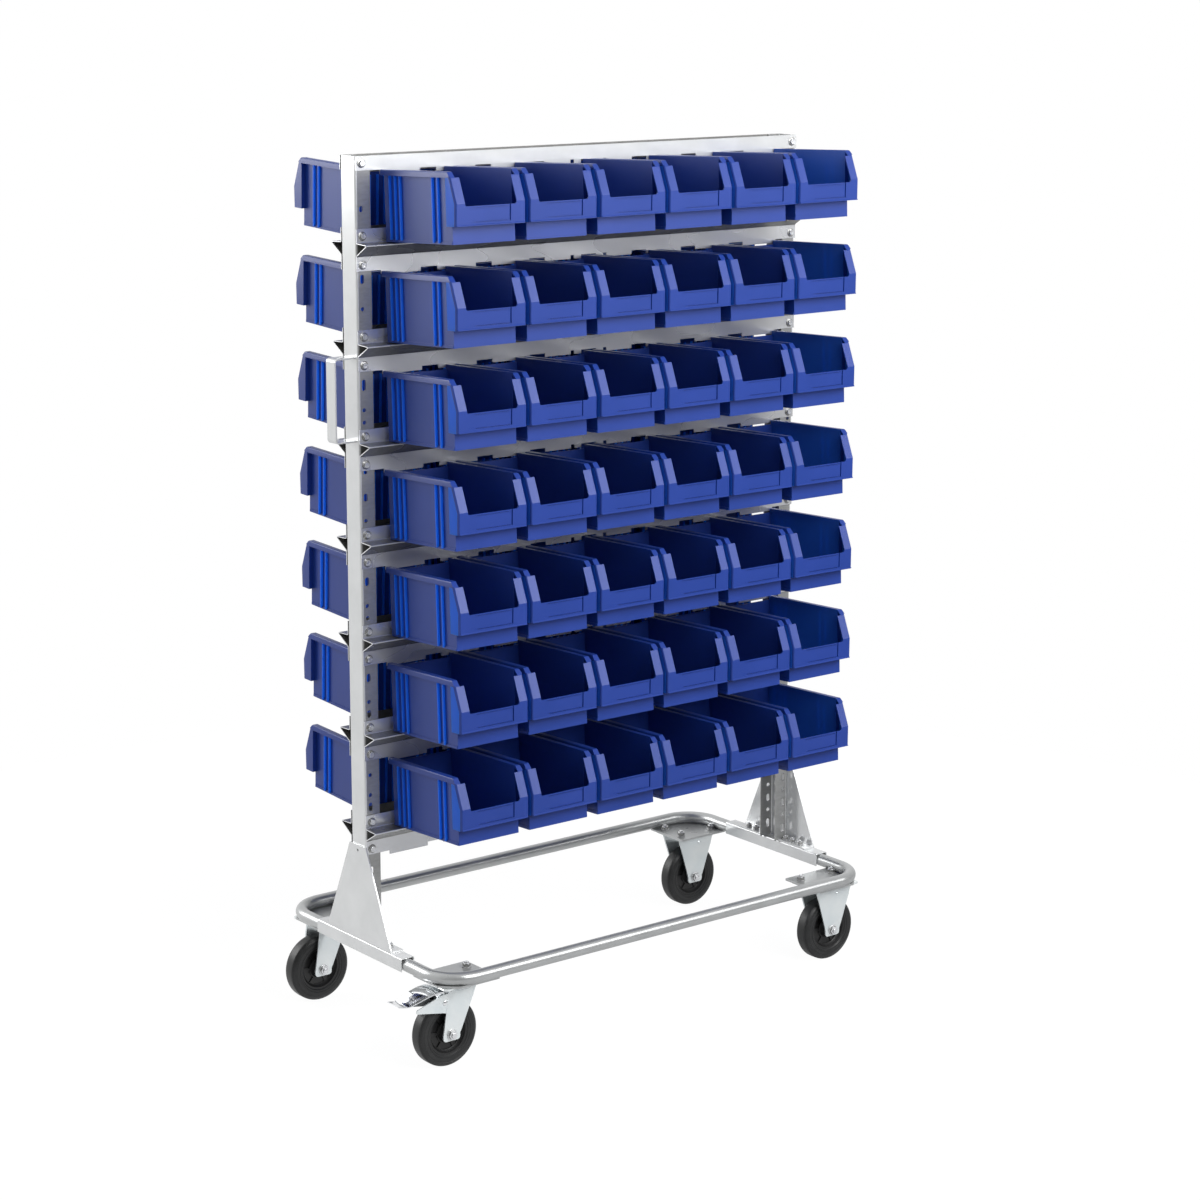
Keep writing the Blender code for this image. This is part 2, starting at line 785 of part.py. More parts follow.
def axle_mesh():
    """A bolt through both legs, with a hexagon at each end."""
    face = LEG_CLEAR_HALF + LEG_SHEET + GAP
    end = face + AXLE_HEAD_HEIGHT
    shank = round_bar_y(AXLE_RADIUS, end - GAP, BORE_STEPS)
    heads = []
    for side in (-1, 1):
        head = round_bar_y(AXLE_HEAD_RADIUS, AXLE_HEAD_HEIGHT / 2, NUT_SIDES)
        heads.append(moved(head, y=side * (face + AXLE_HEAD_HEIGHT / 2)))
    return joined(shank, group(heads))


def leg_pair(outline, holes):
    """Two upright sheet legs of one outline, drilled for the axle and any pedal pin."""
    middle = LEG_CLEAR_HALF + LEG_SHEET / 2
    legs = [moved(along_y(flat_prism(outline, LEG_SHEET)), y=side * middle) for side in (-1, 1)]
    body = group(legs)
    for x, z, radius in holes:
        half_length = LEG_CLEAR_HALF + LEG_SHEET + OVERRUN
        body = cut(body, moved(round_bar_y(radius, half_length, BORE_STEPS), x=x, z=z))
    return body


def fixed_leg_outline():
    """A leg that tapers from the top plate down to a round foot about the axle."""
    top = CASTOR_HEIGHT - MOUNT_SHEET / 2
    foot = arc((0, WHEEL_RADIUS), LEG_FOOT_RADIUS, FULL_TURN, HALF_TURN, FOOT_STEPS)
    return [(-FIXED_LEG_TOP_HALF, top), (FIXED_LEG_TOP_HALF, top)] + foot


def fixed_bracket_mesh():
    body = leg_pair(fixed_leg_outline(), [(0, WHEEL_RADIUS, BORE_RADIUS)])
    plate = mount_plate()
    return merge_flats(joined(plate, body))


def mount_plate():
    half = MOUNT_LENGTH / 2
    depth = MOUNT_WIDTH / 2
    outline = [(-half, -depth), (half, -depth), (half, depth), (-half, depth)]
    plate = flat_prism(fillet(outline, [MOUNT_CORNER] * len(outline), BEND_STEPS), MOUNT_SHEET)
    return moved(plate, z=CASTOR_HEIGHT - MOUNT_SHEET / 2)


def swivel_plate_mesh():
    """The castor's top plate with the fixed half of its swivel race below it."""
    low = CASTOR_HEIGHT - MOUNT_SHEET - RACE_HEIGHT
    race = round_bar(RACE_RADIUS, low, CASTOR_HEIGHT - MOUNT_SHEET / 2, ROUND_STEPS)
    return merge_flats(joined(mount_plate(), race))


def swivel_leg_outline(with_arm):
    """A trailing leg about the swivel axis at x = 0, with the brake's arm where asked."""
    top = crown_top() - CROWN_SHEET / 2
    foot = arc((-CASTOR_TRAIL, WHEEL_RADIUS), LEG_FOOT_RADIUS, FULL_TURN, HALF_TURN, FOOT_STEPS)
    back = []
    if with_arm:
        back = [
            (-CASTOR_TRAIL - LEG_FOOT_RADIUS, ARM_UNDERSIDE),
            (-ARM_REACH, ARM_TIP_LOW),
            (-ARM_REACH, ARM_TIP_HIGH),
        ]
    return [(-SWIVEL_LEG_BACK, top), (SWIVEL_LEG_FRONT, top)] + foot + back


def crown_top():
    return CASTOR_HEIGHT - MOUNT_SHEET - RACE_HEIGHT - GAP


def swivel_fork_mesh(with_arm):
    holes = [(-CASTOR_TRAIL, WHEEL_RADIUS, BORE_RADIUS)]
    if with_arm:
        holes.append((-PEDAL_PIVOT_BACK, PEDAL_PIVOT_HEIGHT, PEDAL_PIN_RADIUS + PEDAL_PIN_CLEARANCE))
    legs = leg_pair(swivel_leg_outline(with_arm), holes)
    depth = LEG_CLEAR_HALF + LEG_SHEET
    low = (-SWIVEL_LEG_BACK, -depth, crown_top() - CROWN_SHEET)
    high = (SWIVEL_LEG_FRONT, depth, crown_top())
    return merge_flats(joined(block(low, high), legs))


def pedal_mesh():
    """The pedal about its pivot: a bent tread, two ears and two stub pins."""
    path = [
        (PEDAL_HEEL_REACH, PEDAL_CREST_HEIGHT),
        (PEDAL_CREST_REACH, PEDAL_CREST_HEIGHT),
        (PEDAL_TOE_REACH, PEDAL_TOE_HEIGHT),
        (PEDAL_REACH, PEDAL_TIP_HEIGHT),
    ]
    widths = [PEDAL_HALF_WIDTH, PEDAL_HALF_WIDTH, PEDAL_TOE_HALF_WIDTH, PEDAL_TOE_HALF_WIDTH]
    bm = bmesh.new()
    near = []
    far = []
    for (reach, height), half in zip(path, widths):
        x = PEDAL_PIVOT_BACK - reach
        z = height - PEDAL_PIVOT_HEIGHT
        near.append(bm.verts.new((x, -half, z)))
        far.append(bm.verts.new((x, half, z)))
    for index in range(len(path) - 1):
        bm.faces.new((near[index], far[index], far[index + 1], near[index + 1]))
    mesh = bpy.data.meshes.new("pedal_tread")
    bm.to_mesh(mesh)
    bm.free()
    obj = link_temporary(mesh)
    shell = obj.modifiers.new("sheet", "SOLIDIFY")
    shell.thickness = PEDAL_SHEET
    shell.offset = -1
    tread = take_mesh(obj)
    weld_mesh(tread)
    return merge_flats(joined(tread, pedal_ears()))


def pedal_ears():
    outer = LEG_CLEAR_HALF - PEDAL_PIN_CLEARANCE
    inner = outer - PEDAL_EAR_SHEET
    top = PEDAL_CREST_HEIGHT - PEDAL_PIVOT_HEIGHT - PEDAL_SHEET / 2
    heel = PEDAL_PIVOT_BACK - PEDAL_CREST_REACH
    outline = [(heel, top)] + arc((0, 0), PEDAL_EYE_RADIUS, HALF_TURN, FULL_TURN, FOOT_STEPS)
    outline += [(PEDAL_PIVOT_BACK - PEDAL_HEEL_REACH, top)]
    ears = []
    pins = []
    for side in (-1, 1):
        ear = along_y(flat_prism(outline, PEDAL_EAR_SHEET))
        ears.append(moved(ear, y=side * (inner + outer) / 2))
        low = inner + PEDAL_EAR_SHEET / 2
        high = LEG_CLEAR_HALF + LEG_SHEET + WELD
        pin = round_bar_y(PEDAL_PIN_RADIUS, (high - low) / 2, BORE_STEPS)
        pins.append(moved(pin, y=side * (low + high) / 2))
    return joined(group(ears), group(pins))


# Assembly


def add_frame(collection, root, zinc, bright):
    for name, side in (("left", -1), ("right", 1)):
        turn = 0 if side < 0 else HALF_TURN
        place = (side * RACK_HALF, 0, 0)
        upright = meshes["upright"]
        add_part(name + "_upright", upright, zinc, collection, root, place, turn)
        add_part(name + "_foot_bracket", meshes["bracket"], zinc, collection, root, place, turn)
        place = (side * RING_HALF_LENGTH, 0, 0)
        add_part(name + "_end_channel", meshes["channel"], zinc, collection, root, place, turn)
    for name, side in (("front", -1), ("rear", 1)):
        turn = 0 if side < 0 else HALF_TURN
        add_part(name + "_base_tube", meshes["base_tube"], bright, collection, root, (0, 0, 0), turn)
        place = (0, side * RAIL_FACE, RACK_HEIGHT)
        add_part(name + "_top_rail", meshes["top_rail"], zinc, collection, root, place, turn)
        for row in range(ROW_COUNT):
            place = (0, side * RAIL_FACE, RACK_HEIGHT - row * ROW_PITCH)
            label = name + "_bin_rail_" + str(row + 1)
            add_part(label, meshes["bin_rail"], zinc, collection, root, place, turn)
    grip = (-RACK_HALF, 0, RACK_HEIGHT - HANDLE_TOP_DROP - HANDLE_SPAN / 2)
    add_part("push_handle", handle_mesh(), zinc, collection, root, grip)


def ledge_height(out):
    """Height of a rail's ledge below its row's top line, at a distance from the plate."""
    return -LEDGE_DROP - LEDGE_FALL * out / LEDGE_REACH


def add_bins(collection, root, blue):
    """The first front row as single bins, and every other row as one bank of bins."""
    for name, side in (("front", -1), ("rear", 1)):
        turn = 0 if side < 0 else HALF_TURN
        y = side * (RAIL_FACE + BIN_STAND_OFF)
        for row in range(ROW_COUNT):
            z = RACK_HEIGHT - row * ROW_PITCH + ledge_height(BIN_STAND_OFF) + GAP
            if side > 0 or row > 0:
                label = name + "_bin_row_" + str(row + 1)
                add_part(label, meshes["bin_bank"], blue, collection, root, (0, y, z), turn, -BIN_TILT)
                continue
            for index in range(BINS_PER_ROW):
                x = (index - (BINS_PER_ROW - 1) / 2) * BIN_PITCH
                label = name + "_bin_" + str(index + 1)
                add_part(label, meshes["single_bin"], blue, collection, root, (x, y, z), turn, -BIN_TILT)


def add_wheel(prefix, parent, offset, collection, bright, rubber):
    place = (offset, 0, WHEEL_RADIUS)
    add_part(prefix + "_axle", meshes["axle"], bright, collection, parent, place)
    add_part(prefix + "_wheel", meshes["wheel"], rubber, collection, parent, place)


def add_castors(collection, root, bright, chrome, rubber):
    for name, side in (("front", -1), ("rear", 1)):
        with_brake = side < 0
        prefix = name + "_left_castor"
        place = (-CASTOR_X, side * CASTOR_Y, 0)
        add_part(prefix + "_plate", meshes["swivel_plate"], bright, collection, root, place)
        fork_mesh = swivel_fork_mesh(with_brake)
        fork = add_part(prefix + "_fork", fork_mesh, bright, collection, root, place)
        add_wheel(prefix, fork, -CASTOR_TRAIL, collection, bright, rubber)
        if with_brake:
            pivot = (-PEDAL_PIVOT_BACK, 0, PEDAL_PIVOT_HEIGHT)
            add_part(name + "_left_brake_pedal", pedal_mesh(), chrome, collection, fork, pivot)
        prefix = name + "_right_castor"
        place = (CASTOR_X, side * CASTOR_Y, 0)
        bracket = add_part(prefix + "_bracket", meshes["fixed_bracket"], bright, collection, root, place)
        add_wheel(prefix, bracket, 0, collection, bright, rubber)


def build():
    collection = make_collection("mobile_rack")
    root = bpy.data.objects.new("mobile_rack_origin", None)
    root.location = (CENTRE_SHIFT, 0, 0)
    collection.objects.link(root)
    meshes["upright"] = upright_mesh()
    meshes["bracket"] = bracket_mesh()
    meshes["channel"] = channel_mesh()
    meshes["base_tube"] = base_tube_mesh()
    meshes["top_rail"] = notched_rail_mesh([(0, 0), (0, -TOP_RAIL_HEIGHT)])
    meshes["bin_rail"] = notched_rail_mesh(rail_path())
    meshes["single_bin"] = bin_bank_mesh(1)
    meshes["bin_bank"] = bin_bank_mesh(BINS_PER_ROW)
    meshes["wheel"] = wheel_mesh()
    meshes["axle"] = axle_mesh()
    meshes["swivel_plate"] = swivel_plate_mesh()
    meshes["fixed_bracket"] = fixed_bracket_mesh()
    zinc = zinc_material()
    bright = bright_zinc_material()
    add_frame(collection, root, zinc, bright)
    add_bins(collection, root, blue_plastic_material())
    add_castors(collection, root, bright, chrome_material(), rubber_material())


clear_scene()
build()
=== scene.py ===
"""Looks of the double-sided mobile rack: every surface's finish, and the detailed pieces
that stand for the plain solids. Metres, +Z up, -Y is the front side, the handle is at -X.
"""
import math

import bpy
import bmesh
from mathutils import Matrix
from mathutils import Vector


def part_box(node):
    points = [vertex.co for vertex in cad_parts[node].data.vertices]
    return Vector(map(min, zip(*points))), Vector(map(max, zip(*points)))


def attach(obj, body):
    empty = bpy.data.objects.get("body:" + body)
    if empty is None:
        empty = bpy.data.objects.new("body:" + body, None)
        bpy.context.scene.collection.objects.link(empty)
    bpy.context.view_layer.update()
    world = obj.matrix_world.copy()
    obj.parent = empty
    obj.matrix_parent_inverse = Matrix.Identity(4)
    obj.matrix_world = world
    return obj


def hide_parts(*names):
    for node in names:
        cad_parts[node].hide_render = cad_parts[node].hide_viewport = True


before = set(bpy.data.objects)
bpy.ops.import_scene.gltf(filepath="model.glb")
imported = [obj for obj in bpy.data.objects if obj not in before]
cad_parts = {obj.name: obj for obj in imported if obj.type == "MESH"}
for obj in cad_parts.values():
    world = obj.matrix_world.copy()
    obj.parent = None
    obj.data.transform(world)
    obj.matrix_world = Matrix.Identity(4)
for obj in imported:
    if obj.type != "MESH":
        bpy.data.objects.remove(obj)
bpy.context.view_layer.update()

# Turns and drawing steps
QUARTER = math.radians(90)
HALF = math.radians(180)
FULL = math.radians(360)
MERGE = 0.00002
OVER = 0.004
SIDES = (("front", -1), ("rear", 1))
ENDS = (("left", -1), ("right", 1))

# Layers of values on faces, which the materials read: one raises the bins' translucency and paints a glow into their
# blue, the other paints shade onto the metal as a darker, mottled grey
GLOW_AND_TRANSLUCENCY = "glow_and_translucency"
# How much painted glow, and translucency, the end bins' open side walls get
PAINTED_WALL_GLOW = 0.24
PAINTED_SHADE = "painted_shade"
# How much painted shade the uprights' side flanges and top faces get
UPRIGHT_PAINTED_SHADE = 0.78

# Rack, repeated from the construction
GAP = 0.0003
RACK_HEIGHT = 1.595
RACK_HALF = 0.505
ROWS = 7
ROW_PITCH = 0.175
SHIFT_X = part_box("left_upright")[0].x + RACK_HALF
UPRIGHT_FACE = 0.023
UPRIGHT_SHEET = 0.002
UPRIGHT_FLANGE = 0.031
HOLE_INSET = 0.012
FOOT_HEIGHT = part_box("left_upright")[0].z
RAIL_SHEET = 0.0015
RAIL_FACE = UPRIGHT_FACE + GAP + RAIL_SHEET
LEDGE_REACH = 0.030
BASE_HALF = 0.4955

BINS_PER_ROW = 6
BIN_PITCH = 0.1535
BIN_WIDTH = 0.147
BIN_HEIGHT = 0.125
BIN_TILT = math.radians(2.1)
BIN_STAND_OFF = 0.0075
TUB_HALF = 0.0645
WALL = 0.0025
RIM_BOTTOM = 0.115
BAND_BOTTOM = 0.0336
BAND_KNEE = 0.072
BAND_TOP = 0.067
BIN_LENGTH = 0.2243
BAND_LEAN = 0.0019
CHEEK_TOP = 0.209
FRAME_BACK = 0.1963
TUB_LENGTH = 0.2015
RIM_END = 0.1977
CHAMFER = 0.0032
RIB_HALF = 0.0014

WHEEL_RADIUS = 0.0625
CASTOR_X = 0.440
CASTOR_Y = 0.210
CASTOR_HEIGHT = 0.155
TRAIL = 0.028
PEDAL_REACH = 0.042
PEDAL_HEIGHT = 0.1245


# Materials

EVEN = (1, 1, 1)


def set_all(target, settings):
    for name, value in settings.items():
        setattr(target, name, value)


def feed(tree, node, inputs):
    """Gives each of a node's inputs a plain value or the output that drives it."""
    for key, source in inputs.items():
        if isinstance(source, bpy.types.NodeSocket):
            tree.links.new(source, node.inputs[key])
        else:
            node.inputs[key].default_value = source


def add_node(tree, kind, inputs=None, **settings):
    node = tree.nodes.new("ShaderNode" + kind)
    set_all(node, settings)
    feed(tree, node, inputs or {})
    return node


def new_material(name):
    material = bpy.data.materials.new(name)
    material.use_nodes = True
    return material, material.node_tree, material.node_tree.nodes["Principled BSDF"]


def noise(tree, stretch, scale, detail, roughness):
    """Noise in stretched object coordinates, with an offset of its own for each object."""
    chance = add_node(tree, "ObjectInfo").outputs["Random"]
    offset = add_node(tree, "VectorMath", {0: (7.0, 5.0, 3.0), "Scale": chance}, operation="SCALE").outputs["Vector"]
    place = add_node(tree, "TexCoord").outputs["Object"]
    vector = add_node(tree, "Mapping", {"Vector": place, "Location": offset, "Scale": stretch}).outputs["Vector"]
    settings = {"Vector": vector, "Scale": scale, "Detail": detail, "Roughness": roughness}
    return add_node(tree, "TexNoise", settings).outputs["Fac"]


def ramp(tree, factor, low, high):
    """Maps the middle of a factor's range to a colour or grey between two values."""
    node = add_node(tree, "ValToRGB", {"Fac": factor})
    for element, position, value in zip(node.color_ramp.elements, (0.3, 0.7), (low, high)):
        element.position = position
        element.color = (*(value if isinstance(value, tuple) else (value,) * 3), 1.0)
    return node.outputs["Color"]


def bump(tree, height, shader, strength, distance):
    node = add_node(tree, "Bump", {"Height": height, "Strength": strength, "Distance": distance})
    feed(tree, shader, {"Normal": node.outputs["Normal"]})


def mix_colours(tree, factor, first, second):
    return add_node(tree, "Mix", {"Factor": factor, "A": first, "B": second}, data_type="RGBA").outputs["Result"]


def mix_shaders(tree, factor, first, second):
    """Puts a mix of two shaders on the material's surface."""
    mix = add_node(tree, "MixShader", {"Fac": factor, 1: first.outputs[0], 2: second.outputs[0]})
    feed(tree, tree.nodes["Material Output"], {"Surface": mix.outputs["Shader"]})


def shade_along(tree, space, direction, start, end, low, high):
    """A value that goes from low to high along a direction, between a start and an end."""
    place = add_node(tree, "TexCoord").outputs[space]
    along = add_node(tree, "VectorMath", {0: place, 1: direction}, operation="DOT_PRODUCT").outputs["Value"]
    spread = {"Value": along, "From Min": start, "From Max": end, "To Min": low, "To Max": high}
    return add_node(tree, "MapRange", spread).outputs["Result"]


def shade_painted_on(tree, colour):
    """The colour, with painted shade on the faces that a mesh marks, such as its flanges and insides: a darker, mottled
    grey.
    """
    painted_shade = add_node(tree, "Attribute", attribute_name=PAINTED_SHADE).outputs["Fac"]
    mottle = noise(tree, (1, 1, 3), 60.0, 5.0, 0.65)
    return mix_colours(tree, painted_shade, colour, ramp(tree, mottle, (0.235, 0.235, 0.225), (0.34, 0.34, 0.33)))


def surface(name, cloud, colours, gloss, relief=None, grain=None, metallic=1.0, specular=0.5, paints_shade=False, matt=None):
    """A material whose colour follows a cloud, and its roughness and relief a grain or that cloud.

    cloud and grain are a noise's stretch, scale, detail and roughness; relief is a bump's strength and
    distance; matt is the roughness and share of a matt lobe of the same colour, as on crystalline zinc.
    """
    material, tree, shader = new_material(name)
    pattern = noise(tree, *cloud)
    colour = ramp(tree, pattern, *colours)
    # Painted shade on the faces that the mesh marks
    if paints_shade:
        colour = shade_painted_on(tree, colour)
    if grain:
        pattern = noise(tree, *grain)
    feed(tree, shader, {"Base Color": colour, "Roughness": ramp(tree, pattern, *gloss), "Metallic": metallic,
                        "Specular IOR Level": specular})
    if relief:
        bump(tree, pattern, shader, *relief)
    if matt:
        lobe = add_node(tree, "BsdfPrincipled", {"Base Color": colour, "Metallic": 0.0, "Roughness": matt[0]})
        mix_shaders(tree, matt[1], shader, lobe)
    return material


def zinc_sheet():
    """Zinc-plated sheet: satin, with a faint bloom, fine rolling lines along X and painted shade on its marked faces.
    """
    return surface("zinc_sheet_looks", (EVEN, 16.0, 5.0, 0.6), ((0.695, 0.705, 0.705), (0.775, 0.785, 0.785)),
                   (0.17, 0.23), (0.03, 0.0003), ((3, 220, 220), 6.0, 5.0, 0.6), paints_shade=True, matt=(0.5, 0.52))


def rail_zinc():
    """The rails' sheet: brighter and smoother, so that it mirrors the bins softly, with painted shade on its marked
    faces.
    """
    return surface("rail_zinc_looks", ((1, 2, 2), 9.0, 1.0, 0.4), ((0.745, 0.755, 0.775), (0.815, 0.825, 0.845)),
                   (0.25, 0.29), paints_shade=True, matt=(0.45, 0.30))


def bright_zinc():
    """Bright blue-white passivated zinc on the castors' pressings."""
    return surface("bright_zinc_looks", (EVEN, 22.0, 3.0, 0.5), ((0.73, 0.79, 0.81), (0.84, 0.875, 0.875)),
                   (0.17, 0.22), (0.03, 0.0004), matt=(0.4, 0.46))


def tube_zinc():
    """Plated tube: satin, drawn smooth along its length."""
    return surface("tube_zinc_looks", (EVEN, 14.0, 3.0, 0.5), ((0.43, 0.44, 0.44), (0.51, 0.52, 0.52)),
                   (0.27, 0.33), (0.02, 0.0003), matt=(0.45, 0.35))


def chrome():
    return surface("chrome_looks", (EVEN, 60.0, 3.0, 0.6), ((0.80, 0.82, 0.85), (0.90, 0.90, 0.91)), (0.06, 0.13),
                   (0.04, 0.0004))


def tyre_rubber():
    return surface("tyre_rubber_looks", (EVEN, 40.0, 4.0, 0.6), ((0.012, 0.0125, 0.013), (0.020, 0.0205, 0.021)),
                   (0.34, 0.44), (0.12, 0.0002), (EVEN, 600.0, 4.0, 0.6), metallic=0.0, specular=0.40)


def rim_plastic():
    return surface("rim_plastic_looks", (EVEN, 500.0, 4.0, 0.6), ((0.006, 0.006, 0.0065), (0.010, 0.010, 0.0105)),
                   (0.34, 0.48), (0.12, 0.0002), metallic=0.0)


def blue_plastic():
    """Moulded polypropylene: satin ultramarine. On its ribs and lit walls more light comes through, and a bright azure
    glow is also painted into the colour.
    """
    material, tree, shader = new_material("blue_plastic_looks")
    cloud = noise(tree, EVEN, 11.0, 3.0, 0.5)
    grain = noise(tree, EVEN, 700.0, 3.0, 0.6)
    glow_and_translucency = add_node(tree, "Attribute", attribute_name=GLOW_AND_TRANSLUCENCY).outputs["Fac"]
    colour = ramp(tree, cloud, (0.012, 0.042, 0.255), (0.016, 0.048, 0.285))
    # Painted glow: the marked faces turn towards a bright azure
    colour = mix_colours(tree, glow_and_translucency, colour, (0.045, 0.25, 1.0, 1.0))
    feed(tree, shader, {"Base Color": colour, "Roughness": ramp(tree, grain, 0.32, 0.42), "Specular IOR Level": 0.46})
    bump(tree, grain, shader, 0.07, 0.0002)
    through = add_node(tree, "BsdfTranslucent", {"Color": (0.07, 0.42, 1.0, 1.0)})
    share = add_node(tree, "MapRange", {"Value": glow_and_translucency, "To Min": 0.12, "To Max": 0.58}).outputs["Result"]
    mix_shaders(tree, share, shader, through)
    return material


# Shapes


def linked(name, data):
    obj = bpy.data.objects.new(name, data)
    bpy.context.scene.collection.objects.link(obj)
    return obj


def applied(obj):
    """The object's shape with its modifiers applied; the object itself is removed."""
    depsgraph = bpy.context.evaluated_depsgraph_get()
    mesh = bpy.data.meshes.new_from_object(obj.evaluated_get(depsgraph))
    bpy.data.objects.remove(obj, do_unlink=True)
    return mesh


def modified(mesh, kind, **settings):
    """The mesh with one modifier applied."""
    obj = linked("working_shape", mesh)
    set_all(obj.modifiers.new(kind.lower(), kind), settings)
    return applied(obj)


def opened(*meshes):
    bm = bmesh.new()
    for mesh in meshes:
        bm.from_mesh(mesh)
    return bm


def finished(bm, mesh=None):
    """Puts a bmesh's shape into a mesh, a new one if none is given."""
    mesh = mesh or bpy.data.meshes.new("shape")
    bm.to_mesh(mesh)
    bm.free()
    return mesh


def group(meshes):
    return finished(opened(*meshes))


def weld(mesh):
    bm = opened(mesh)
    bmesh.ops.remove_doubles(bm, verts=bm.verts, dist=MERGE)
    bmesh.ops.recalc_face_normals(bm, faces=bm.faces)
    return finished(bm, mesh)


def flattened(mesh, merge=MERGE):
    """Flats are made single faces."""
    bm = opened(mesh)
    bmesh.ops.remove_doubles(bm, verts=bm.verts, dist=merge)
    bmesh.ops.dissolve_limit(bm, angle_limit=math.radians(0.2), verts=bm.verts, edges=bm.edges)
    return finished(bm, mesh)


def drawn(points, closed, **settings):
    """The mesh of a curve through some points."""
    curve = bpy.data.curves.new("outline", "CURVE")
    set_all(curve, settings)
    spline = curve.splines.new("POLY")
    spline.points.add(len(points) - 1)
    for point, place in zip(spline.points, points):
        point.co = (*place, 1)
    spline.use_cyclic_u = closed
    mesh = applied(linked("working_shape", curve))
    bpy.data.curves.remove(curve)
    return weld(mesh)


def prism(outline, thickness):
    """A closed outline in XY, thickened evenly on both sides of the XY plane."""
    return drawn([(x, y, 0) for x, y in outline], True, dimensions="2D", fill_mode="BOTH", extrude=thickness / 2)


def block(low, high):
    bm = bmesh.new()
    bmesh.ops.create_cube(bm, size=1)
    bmesh.ops.scale(bm, vec=[b - a for a, b in zip(low, high)], verts=bm.verts)
    bmesh.ops.translate(bm, vec=[(a + b) / 2 for a, b in zip(low, high)], verts=bm.verts)
    return finished(bm)


def along_x(mesh):
    mesh.transform(Matrix.Rotation(QUARTER, 4, "Z") @ Matrix.Rotation(QUARTER, 4, "X"))
    return mesh


def moved(mesh, x=0, y=0, z=0):
    mesh.transform(Matrix.Translation((x, y, z)))
    return mesh


def turned(mesh, angle, axis):
    mesh.transform(Matrix.Rotation(angle, 4, axis))
    return mesh


def along_y(mesh):
    return turned(mesh, QUARTER, "X")


def combine(base, other, operation):
    tool = linked("working_tool", other)
    mesh = modified(base, "BOOLEAN", operation=operation, solver="EXACT", object=tool)
    bpy.data.objects.remove(tool, do_unlink=True)
    return mesh


def joined(base, other):
    return combine(base, other, "UNION")


def cut(base, cutter):
    return combine(base, cutter, "DIFFERENCE")


def smooth(mesh, sharp=40):
    """Smooth shading that keeps the flats flat and the corners beyond an angle sharp."""
    mesh.shade_smooth()
    mesh.set_sharp_from_angle(angle=math.radians(sharp))
    return modified(mesh, "WEIGHTED_NORMAL", keep_sharp=True)


def rounded(mesh, width, segments, angle):
    """Every corner beyond an angle gets a small round."""
    return modified(mesh, "BEVEL", width=width, segments=segments, limit_method="ANGLE",
                    angle_limit=math.radians(angle))


def eased(mesh, width, segments, angle):
    """Single faces for the flats, small rounds on the corners and smooth shading."""
    return smooth(rounded(flattened(mesh), width, segments, angle), 50)


def marked(mesh, name, test, value=1.0):
    """Gives the faces that pass a test a value in a layer that the material reads."""
    layer = mesh.attributes.new(name, "FLOAT", "FACE")
    for face in mesh.polygons:
        layer.data[face.index].value = value if test(face) else 0.0
    return mesh


def arc(centre, radius, start, end, steps):
    points = []
    for step in range(steps + 1):
        angle = start + (end - start) * step / steps
        points.append((centre[0] + radius * math.cos(angle), centre[1] + radius * math.sin(angle)))
    return points


def fillet(outline, radii, steps, closed=True):
    """Rounds each corner of an outline by its own radius; zero keeps it sharp."""
    points = []
    count = len(outline)
    for index, radius in enumerate(radii):
        corner = Vector(outline[index])
        if radius <= 0 or (not closed and index in (0, count - 1)):
            points.append(tuple(corner))
            continue
        before = Vector(outline[index - 1]) - corner
        after = Vector(outline[(index + 1) % count]) - corner
        half_angle = before.angle(after) / 2
        setback = min(radius / math.tan(half_angle), before.length / 2, after.length / 2)
        reach = setback * math.tan(half_angle)
        middle = (before.normalized() + after.normalized()).normalized()
        centre = corner + middle * (reach / math.sin(half_angle))
        start = corner + before.normalized() * setback - centre
        sweep = start.angle_signed(corner + after.normalized() * setback - centre)
        for step in range(steps + 1):
            points.append(tuple(centre + Matrix.Rotation(-sweep * step / steps, 2) @ start))
    return points


def rectangle(left, low, right, high):
    return [(left, low), (right, low), (right, high), (left, high)]


def mirrored(profile):
    """The points of a profile in (radius, height) on the other side of the middle plane, in reverse."""
    return [(radius, -height) for radius, height in reversed(profile)]


def lathe(profile, steps, closed=False):
    """A profile in (radius, height) turned about Z."""
    bm = bmesh.new()
    verts = [bm.verts.new((radius, 0, height)) for radius, height in profile]
    for first, second in zip(verts, verts[1:] + verts[:1] * closed):
        bm.edges.new((first, second))
    return weld(modified(finished(bm), "SCREW", axis="Z", steps=steps, render_steps=steps, use_merge_vertices=True,
                         merge_threshold=MERGE))


def rod(radius, low, high, sides):
    return lathe([(0, high), (radius, high), (radius, low), (0, low)], sides)


def strips(rows):
    """A bmesh of the faces between neighbouring rows of points."""
    bm = bmesh.new()
    rows = [[bm.verts.new(point) for point in row] for row in rows]
    for first, second in zip(rows, rows[1:]):
        for index in range(len(first) - 1):
            bm.faces.new((first[index], first[index + 1], second[index + 1], second[index]))
    return bm


def bent_sheet(path, length, sheet):
    """A path in (outward, up) drawn along X and given the sheet's thickness behind it."""
    rows = [[(x, -out, up) for out, up in path] for x in (-length / 2, length / 2)]
    return modified(finished(strips(rows)), "SOLIDIFY", thickness=sheet, offset=-1, use_even_offset=True)


def piece(name, mesh, material, body, replaced=(), place=(0, 0, 0), turn=0, tilt=0):
    """One visible piece, in the rack's frame, riding on its body."""
    obj = linked(name, mesh)
    if not mesh.materials:
        mesh.materials.append(material)
    obj.location = (place[0] + SHIFT_X, place[1], place[2])
    obj.rotation_euler = (tilt, 0, turn)
    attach(obj, body)
    if replaced:
        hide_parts(*replaced)


def stand_in(node, mesh, material, place, turn=0, body="rack"):
    """The piece that takes one solid's place."""
    piece(node + "_looks", mesh, material, body, (node,), place, turn)


# Bolts and nuts


